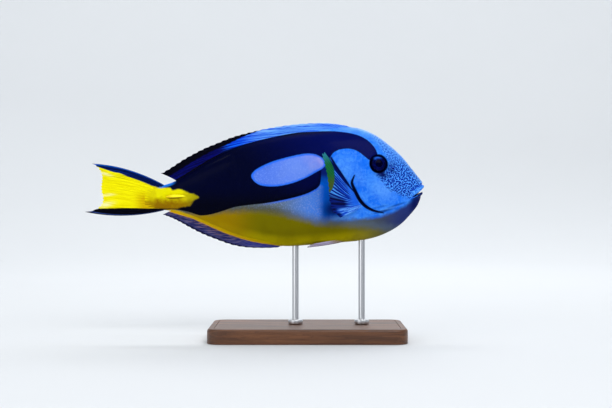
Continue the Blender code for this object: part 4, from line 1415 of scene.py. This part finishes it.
def tail_paint():
    """Lemon yellow between a blue upper lobe and a black lower one."""
    coat, _, along, out = fin_finish("tail_paint")
    mix, ease, x, z = coat.mix, coat.ease, coat.x, coat.z
    streaks = coat.streaks(along * 90.0, out * 2.2)
    gold = ease(x + (streaks - 0.5) * 10.0, -84.0, -74.0) * ease(z, -2.0, -9.0)
    yellow = coat.layers(
        paint(226, 210, 0),
        (ease(streaks, 0.35, 0.6), paint(246, 238, 6)),
        (gold * 0.7, paint(190, 142, 2)),
        (ease(streaks, 0.48, 0.4) * ease(z, 1.0, 5.0) * 0.45, paint(150, 146, 8)),
        (coat.marking("pale") * ease(streaks, 0.38, 0.56), paint(250, 250, 200)),
    )
    upper = mix(ease(streaks, 0.44, 0.62), paint(0, 8, 54), paint(0, 30, 108))
    upper = mix(ease(along, 0.04, 0.02) * ease(along, 0.004, 0.012) * 0.8, upper, paint(12, 92, 206))
    line = ease(along, 0.972, 0.977) * ease(along, 0.988, 0.984)
    lower = mix(line * 0.5, paint(2, 2, 12), paint(64, 92, 172))
    lobes = mix(ease(z, -9.0, -7.0), lower, upper)
    inside = ease(coat.marking("yellow") + (streaks - 0.5) * 1.2, -0.25, 0.3)
    coat.colour(mix(inside, lobes, yellow))
    return coat.material


def pectoral_paint():
    """Thin bright rays on navy, with a green outer edge, and painted shade on the lower part and along the
    leading edge.
    """
    coat, ray, along, out = fin_finish("pectoral_paint")
    mix, ease, z = coat.mix, coat.ease, coat.z
    streaks = coat.streaks(along * 90.0, out * 2.2)
    lower = ease(along, 0.62, 0.76)
    # painted shade on the outer part of the lower rays, which also dims those rays
    dark = lower * ease(out, 0.3, 0.55)
    furrow = coat.streaks(along * 26.0, out * 1.2, 1.0)
    furrow = ease(furrow, 0.5, 0.44) * ease(out, 0.16, 0.32) * (1 - lower)
    blue = coat.layers(
        paint(0, 20, 124),
        (ease(out, 0.8, 0.4), paint(0, 48, 194)),
        (dark, paint(0, 6, 62)),
        (ease(ray, 0.25, 0.7), mix(dark, paint(76, 162, 255), paint(6, 30, 120))),
        (ease(out, 0.34, 0.14) * 0.8, paint(34, 116, 244)),
        (furrow * 0.8, paint(0, 22, 130)),
        # painted shade along the leading edge, joining the cheek's painted shadow
        (ease(along, 0.11, 0.07), paint(0, 10, 74)),
        (ease(along, 0.85, 0.92) * ease(out, 0.95, 0.75), paint(16, 72, 200)),
        (ease(along, 0.88, 0.93) * ease(streaks, 0.42, 0.52) * ease(out, 0.9, 0.7), paint(100, 168, 252)),
    )
    green = mix(ease(z, 0.0, 8.0), paint(72, 92, 34), paint(22, 104, 48))
    green = mix(ease(z, 13.0, 21.0), green, paint(44, 132, 150))
    green = mix(ease(streaks, 0.45, 0.65) * 0.4, green, paint(10, 66, 42))
    coat.colour(mix(ease(coat.marking("green") + (streaks - 0.5) * 1.4, -0.2, 0.5), blue, green))
    return coat.material


def pelvic_paint():
    """Pale lilac over a dark yellow root."""
    coat, ray, along, out = fin_finish("pelvic_paint")
    coats = (
        (coat.ease(out, 0.1, 0.5), paint(176, 164, 196)),
        (coat.ease(ray, 0.3, 0.9) * 0.5, paint(206, 198, 224)),
        (coat.ease(along, 0.12, 0.04), paint(60, 40, 40)),
    )
    coat.colour(coat.layers(paint(140, 112, 30), *coats))
    return coat.material


# Eyes, spines, teeth and nostrils
def out_of_skin(x, z):
    """A place on the left flank, and directions rearward, up and straight out of the skin there."""
    across = float(flank(x + 1, z) - flank(x - 1, z)) / 2
    rise = float(flank(x, z + 1) - flank(x, z - 1)) / 2
    out = np.array((-across, 1.0, -rise))
    out /= np.linalg.norm(out)
    rearward = np.cross((0, 0, 1), out)
    rearward /= np.linalg.norm(rearward)
    return on_flank(x, z), rearward, np.cross(out, rearward), out


def face_outward(piece):
    """Turns all faces of a closed piece to point out of it."""
    choose(piece)
    bpy.ops.object.mode_set(mode="EDIT")
    bpy.ops.mesh.select_all(action="SELECT")
    bpy.ops.mesh.normals_make_consistent(inside=False)
    bpy.ops.object.mode_set(mode="OBJECT")


def join(pieces, name, material):
    """Makes one piece of several."""
    clear_selection()
    for piece in pieces:
        piece.select_set(True)
    bpy.context.view_layer.objects.active = pieces[0]
    bpy.ops.object.join()
    joined = named(name, material)
    face_outward(joined)
    smooth(joined, 40)
    return settle(joined)


def eye(label, side):
    """A glossy, slightly flattened ball set in its socket."""
    piece, ball = ball_piece(96, 64, f"eyeball_{label}", eye_paint())
    middle, rearward, up, out = out_of_skin(*EYE_PLACE)
    dome = np.where(ball[:, 2] > 0, ball[:, 2] * (1 - 0.1 * ball[:, 2] ** 4), ball[:, 2])
    local = np.column_stack((ball[:, :2] * EYE_RADIUS, dome * EYE_HALF_DEPTH))
    places = middle - out * EYE_SUNK + local @ np.array((rearward, up, out))
    move_points(piece, places * (1, side, 1))
    mark(piece, "from_pupil", np.where(ball[:, 2] > 0, np.hypot(local[:, 0], local[:, 1]), EYE_RADIUS))
    mark(piece, "gleam", patches(GLEAM_PATCHES, local[:, 0], local[:, 1]) * (ball[:, 2] > 0))
    face_outward(piece)
    smooth(piece)
    return settle(piece, f"eye_{label}")


def eye_paint():
    """Blue-black under clear gloss: a black pupil in a navy iris with a faint pale ring."""
    eye_coat = Finish(
        "eye_gloss", Roughness=0.1, Coat_Weight=0.03, Coat_Roughness=0.02, Specular_IOR_Level=0.0
    )
    away = eye_coat.marking("from_pupil")
    cloudy = eye_coat.ease(eye_coat.noise(0.7, 4.0), 0.4, 0.65)
    iris = eye_coat.mix(cloudy, paint(1, 3, 48), paint(3, 10, 78))
    coats = (
        (eye_coat.ease(away, 2.55, 2.75), paint(5, 15, 88)),
        (eye_coat.ease(away, 2.75, 3.1), iris),
        (eye_coat.ease(away, 4.3, 5.0), paint(0, 1, 20)),
        (eye_coat.marking("gleam"), paint(32, 96, 220)),
    )
    eye_coat.colour(eye_coat.layers(paint(0, 0, 30), *coats))
    return eye_coat.material


def tail_spine(label, side):
    """A flattened blade with its point forward, lying in its groove."""
    piece, ball = ball_piece(32, 60, f"tail_blade_{label}", spine_paint())
    along = 0.5 + 0.5 * ball[:, 2]
    x = between((SPINE_ROOT_X, SPINE_TIP_X), along)
    round_section = np.maximum(np.hypot(ball[:, 0], ball[:, 1]), 1e-6)
    size = np.sin(math.pi * (0.1 + 0.9 * along)) ** 0.75 / round_section
    size = np.where((along > 0.999) | (along < 0.001), 0, size)
    y = flank(x, SPINE_LEVEL) + SPINE_STANDS_OUT + ball[:, 1] * size * SPINE_HALVES[0]
    z = SPINE_LEVEL + SPINE_RISE * along + ball[:, 0] * size * SPINE_HALVES[1]
    move_points(piece, np.column_stack((x, y * side, z)))
    mark(piece, "along", along)
    face_outward(piece)
    smooth(piece)
    return settle(piece, f"tail_spine_{label}")


def spine_paint():
    """Bright yellow, with painted shade: brown below and darker at its root."""
    spine = Finish("spine_paint", Coat_Weight=0.05, Coat_Roughness=0.1, Specular_IOR_Level=0.05)
    coats = (
        # brighter away from the root, whose darker yellow is painted shade
        (spine.ease(spine.marking("along"), 0.1, 0.4), paint(255, 246, 30)),
        (spine.ease(spine.noise(1.5, 3.0), 0.5, 0.7) * 0.25, paint(255, 250, 120)),
        # painted shade along the blade's underside
        (spine.ease(spine.z - spine.marking("along") * SPINE_RISE, -7.7, -8.2), paint(140, 96, 0)),
    )
    spine.colour(spine.layers(paint(232, 200, 8), *coats))
    spine.roughness(spine.noise(2.0, 2.0) * 0.2 + 0.2)
    return spine.material


def tooth(place, sign, length, width, turn):
    """A small flat tooth that narrows to a rounded edge."""
    clear_selection()
    bpy.ops.mesh.primitive_cube_add(size=1)
    piece = bpy.context.object
    corners = points_of(piece)
    toward = corners[:, 2] * 2
    thick = corners[:, 0] * TOOTH_THICKNESS * (1 - 0.25 * toward)
    wide = corners[:, 1] * width * (1 - 0.14 * toward)
    c, s = math.cos(turn), math.sin(turn)
    turned = np.column_stack((thick * c - wide * s, thick * s + wide * c, -sign * corners[:, 2] * length))
    move_points(piece, turned + place)
    soften(piece, TOOTH_ROUNDING * MM, 3)
    return piece


def teeth():
    """The front teeth of both jaws, close set round the lips."""
    made = []
    for jaw, (sign, first, step, count, length, width) in TOOTH_ROWS.items():
        line = path_through(LIP_LINES[jaw], 60)[::-1]
        keys = np.arange(len(line))
        for n in range(count):
            here = (first + n * step) * (len(line) - 1)
            x, y = (np.interp(here, keys, axis) for axis in line.T[:2])
            next_x, next_y = (np.interp(here + 1.5, keys, axis) for axis in line.T[:2])
            turn = math.atan2(x - next_x, next_y - y)
            level = mouth_line(x) + sign * (mouth_gap(x) + 0.15)
            size = 1 - TOOTH_SMALLER * n
            for side in SIDES.values():
                place = (x - TOOTH_SET_BACK, side * y * TOOTH_INWARD, level)
                made.append(tooth(place, sign, length * size, width * size, side * turn))
    return join(made, "teeth", tooth_paint())


def tooth_paint():
    ivory = Finish("tooth_ivory", Roughness=0.25, Coat_Weight=0.3, Coat_Roughness=0.08)
    ivory.colour(ivory.mix(ivory.noise(2.0, 3.0), paint(236, 228, 206), paint(206, 192, 160)))
    return ivory.material


def nostril_rims():
    """A low round rim about each nostril."""
    made = []
    sizes = {"major_radius": 1.0, "minor_radius": 0.24, "major_segments": 40, "minor_segments": 14}
    for side in SIDES.values():
        for x, z, radius in NOSTRILS:
            clear_selection()
            bpy.ops.mesh.primitive_torus_add(**sizes)
            rim = bpy.context.object
            middle, rearward, up, out = out_of_skin(x, z)
            local = points_of(rim) * (1.12, 0.95, 1.12) * radius
            places = middle + out * 0.1 + local @ np.array((rearward, up, out))
            move_points(rim, places * (1, side, 1))
            made.append(rim)
    return join(made, "nostril_rims", nostril_paint())


def nostril_paint():
    rim = Finish(
        "nostril_paint", Roughness=0.38, Coat_Weight=0.1, Coat_Roughness=0.12, Specular_IOR_Level=0.25
    )
    rim.colour(rim.mix(rim.ease(rim.noise(1.2, 2.0), 0.4, 0.6), paint(14, 60, 190), paint(36, 104, 236)))
    return rim.material


# Stand
def pick(piece, mode, wanted):
    """Selects the edges or faces of a piece that are wanted, and stays in edit mode."""
    bpy.context.view_layer.objects.active = piece
    bpy.ops.object.mode_set(mode="EDIT")
    bpy.ops.mesh.select_mode(type=mode)
    bpy.ops.mesh.select_all(action="DESELECT")
    bpy.ops.object.mode_set(mode="OBJECT")
    for element in piece.data.edges if mode == "EDGE" else piece.data.polygons:
        element.select = wanted(element)
    bpy.ops.object.mode_set(mode="EDIT")


def round_edges(piece, wanted, offset, segments):
    """Bevels the edges whose two ends, given as places, are wanted."""
    points = piece.data.vertices
    pick(piece, "EDGE", lambda edge: wanted(*[points[v].co for v in edge.vertices]))
    bpy.ops.mesh.bevel(offset=offset, segments=segments, affect="EDGES")
    bpy.ops.object.mode_set(mode="OBJECT")


def stand_base():
    """A walnut foot with rounded corners, a softened rim and a fine groove round its top."""
    clear_selection()
    bpy.ops.mesh.primitive_cube_add(size=1, location=(BASE_CENTRE_X, 0, BASE_SIZE[2] / 2), scale=BASE_SIZE)
    base = named("stand_foot", walnut())
    bpy.ops.object.transform_apply(location=True, rotation=False, scale=True)
    top = BASE_SIZE[2] - 1e-5
    round_edges(base, lambda a, b: abs(a.z - b.z) > BASE_SIZE[2] / 2, BASE_CORNER, 14)
    round_edges(base, lambda a, b: min(a.z, b.z) > top, BASE_EDGE, 6)
    round_edges(base, lambda a, b: max(a.z, b.z) < 1e-5, BASE_FOOT_EDGE, 3)
    pick(base, "FACE", lambda face: face.center.z > top and face.normal.z > 0.99)
    steps = (GROOVE_INSET, 0), (GROOVE_HALF_WIDTH, -GROOVE_DEPTH), (GROOVE_HALF_WIDTH, GROOVE_DEPTH)
    for inset, depth in steps:
        bpy.ops.mesh.inset(thickness=inset, depth=depth)
    bpy.ops.object.mode_set(mode="OBJECT")
    smooth(base, 35)
    return settle(base, "stand_base")


def stand_rod(label, x):
    """A turned steel rod with a collar at its foot, up to the belly."""
    belly = float(underside(x / MM - LIFT_MM[0], 0.0)) + LIFT_MM[2]
    top = belly * MM + ROD_INTO_BELLY
    shoulder = ROD_FOOT + COLLAR_HEIGHT
    sizes = {"vertices": 64, "radius": ROD_RADIUS, "depth": top - shoulder}
    clear_selection()
    bpy.ops.mesh.primitive_cylinder_add(location=(x, 0, (top + shoulder) / 2), **sizes)
    rod = named(f"steel_rod_{label}", steel())
    bpy.ops.object.transform_apply(location=True, rotation=False, scale=False)
    pick(rod, "FACE", lambda face: face.normal.z < -0.9)
    wide = COLLAR_RADIUS / ROD_RADIUS
    bpy.ops.mesh.extrude_region_move()
    bpy.ops.transform.resize(value=(wide, wide, 1), center_override=(x, 0, shoulder))
    bpy.ops.mesh.extrude_region_move(TRANSFORM_OT_translate={"value": (0, 0, -COLLAR_HEIGHT)})
    bpy.ops.object.mode_set(mode="OBJECT")
    soften(rod, COLLAR_EDGE, 4)
    smooth(rod, 35)
    return settle(rod, f"stand_rod_{label}")


def walnut():
    """Oiled walnut, with its grain along the foot."""
    wood = Finish("walnut", Coat_Weight=0.15, Coat_Roughness=0.25, Specular_IOR_Level=0.35)
    rings = wood.noise(1.0, 4.0, wood.stretched(0.02, 0.16, 0.3), 0.55, 0.6)
    line = wood.math("FRACT", rings * 9.0)
    pores = wood.noise(1.0, 2.0, wood.stretched(0.12, 4.0, 4.0))
    coats = (
        (wood.ease(rings, 0.3, 0.7), paint(116, 72, 42)),
        (wood.ease(line, 0.7, 1.0) * 0.45, paint(52, 29, 17)),
        (wood.ease(pores, 0.58, 0.7) * 0.55, paint(40, 22, 13)),
    )
    wood.colour(wood.layers(paint(74, 44, 26), *coats))
    wood.roughness(pores * 0.25 + 0.32)
    wood.bump(pores, 0.04, 0.5)
    return wood.material


def steel():
    """Brushed steel, with its lines round the rod."""
    metal = Finish("brushed_steel", Metallic=1.0)
    lines = metal.noise(1.0, 3.0, metal.stretched(0.4, 0.4, 9.0))
    metal.colour(metal.mix(lines, paint(186, 188, 192), paint(214, 215, 218)))
    metal.roughness(lines * 0.2 + 0.22)
    metal.bump(lines, 0.006, 0.4)
    return metal.material


# Studio
def studio():
    """A pale floor that curves up all round, and soft lights."""
    clear_selection()
    bpy.ops.mesh.primitive_cylinder_add(vertices=96, radius=STUDIO_RADIUS, depth=STUDIO_HEIGHT)
    floor = bpy.context.object
    floor.location.z = STUDIO_HEIGHT / 2
    bpy.ops.object.transform_apply(location=True, rotation=False, scale=False)
    pick(floor, "FACE", lambda face: face.normal.z > 0.9)
    bpy.ops.mesh.delete(type="FACE")
    bpy.ops.object.mode_set(mode="OBJECT")
    round_edges(floor, lambda a, b: max(a.z, b.z) < 0.01, STUDIO_CURVE, 24)
    pick(floor, "FACE", lambda face: True)
    bpy.ops.mesh.flip_normals()
    bpy.ops.object.mode_set(mode="OBJECT")
    floor.name = "studio_floor"
    floor.data.materials.append(floor_paint())
    smooth(floor)
    for name, place, target, size, power in LIGHTS:
        lamp = bpy.data.lights.new(name, "AREA")
        lamp.shape = "RECTANGLE"
        lamp.size, lamp.size_y = size
        lamp.energy = power
        holder = bpy.data.objects.new(name, lamp)
        bpy.context.scene.collection.objects.link(holder)
        holder.location = place
        holder.rotation_euler = (Vector(target) - Vector(place)).to_track_quat("-Z", "Y").to_euler()
    world = bpy.data.worlds.new("soft_surround")
    world.use_nodes = True
    world.node_tree.nodes["Background"].inputs["Color"].default_value = (0.93, 0.96, 1.0, 1.0)
    world.node_tree.nodes["Background"].inputs["Strength"].default_value = WORLD_STRENGTH
    bpy.context.scene.world = world
    bpy.context.scene.view_settings.view_transform = "Standard"


def floor_paint():
    floor = Finish("studio_paper", Roughness=0.85)
    floor.colour(floor.mix(floor.noise(0.004, 2.0) * 0.3, paint(214, 217, 220), paint(206, 210, 214)))
    return floor.material


def camera():
    """Level with the fish and square to its right side, as in the photo."""
    eye = bpy.data.cameras.new("photo_view")
    eye.sensor_width = SENSOR_WIDTH
    eye.lens = SENSOR_WIDTH * CAMERA_DISTANCE / PHOTO_WIDTH
    eye.clip_start = 0.01
    holder = bpy.data.objects.new("photo_view", eye)
    bpy.context.scene.collection.objects.link(holder)
    holder.location = (PHOTO_CENTRE[0], -CAMERA_DISTANCE, PHOTO_CENTRE[1])
    holder.rotation_euler = (math.radians(90), 0, 0)
    bpy.context.scene.camera = holder


camera()
studio()
fish_skin()
folded_fin("dorsal_fin", dorsal_paint(), **FOLDED_FINS["dorsal_fin"])
folded_fin("anal_fin", anal_paint(), **FOLDED_FINS["anal_fin"])
tail_fin()
for label, side in SIDES.items():
    pectoral_fin(label, side)
    pelvic_fin(label, side)
    eye(label, side)
    tail_spine(label, side)
teeth()
nostril_rims()
stand_base()
for label, x in ROD_PLACES.items():
    stand_rod(label, x)
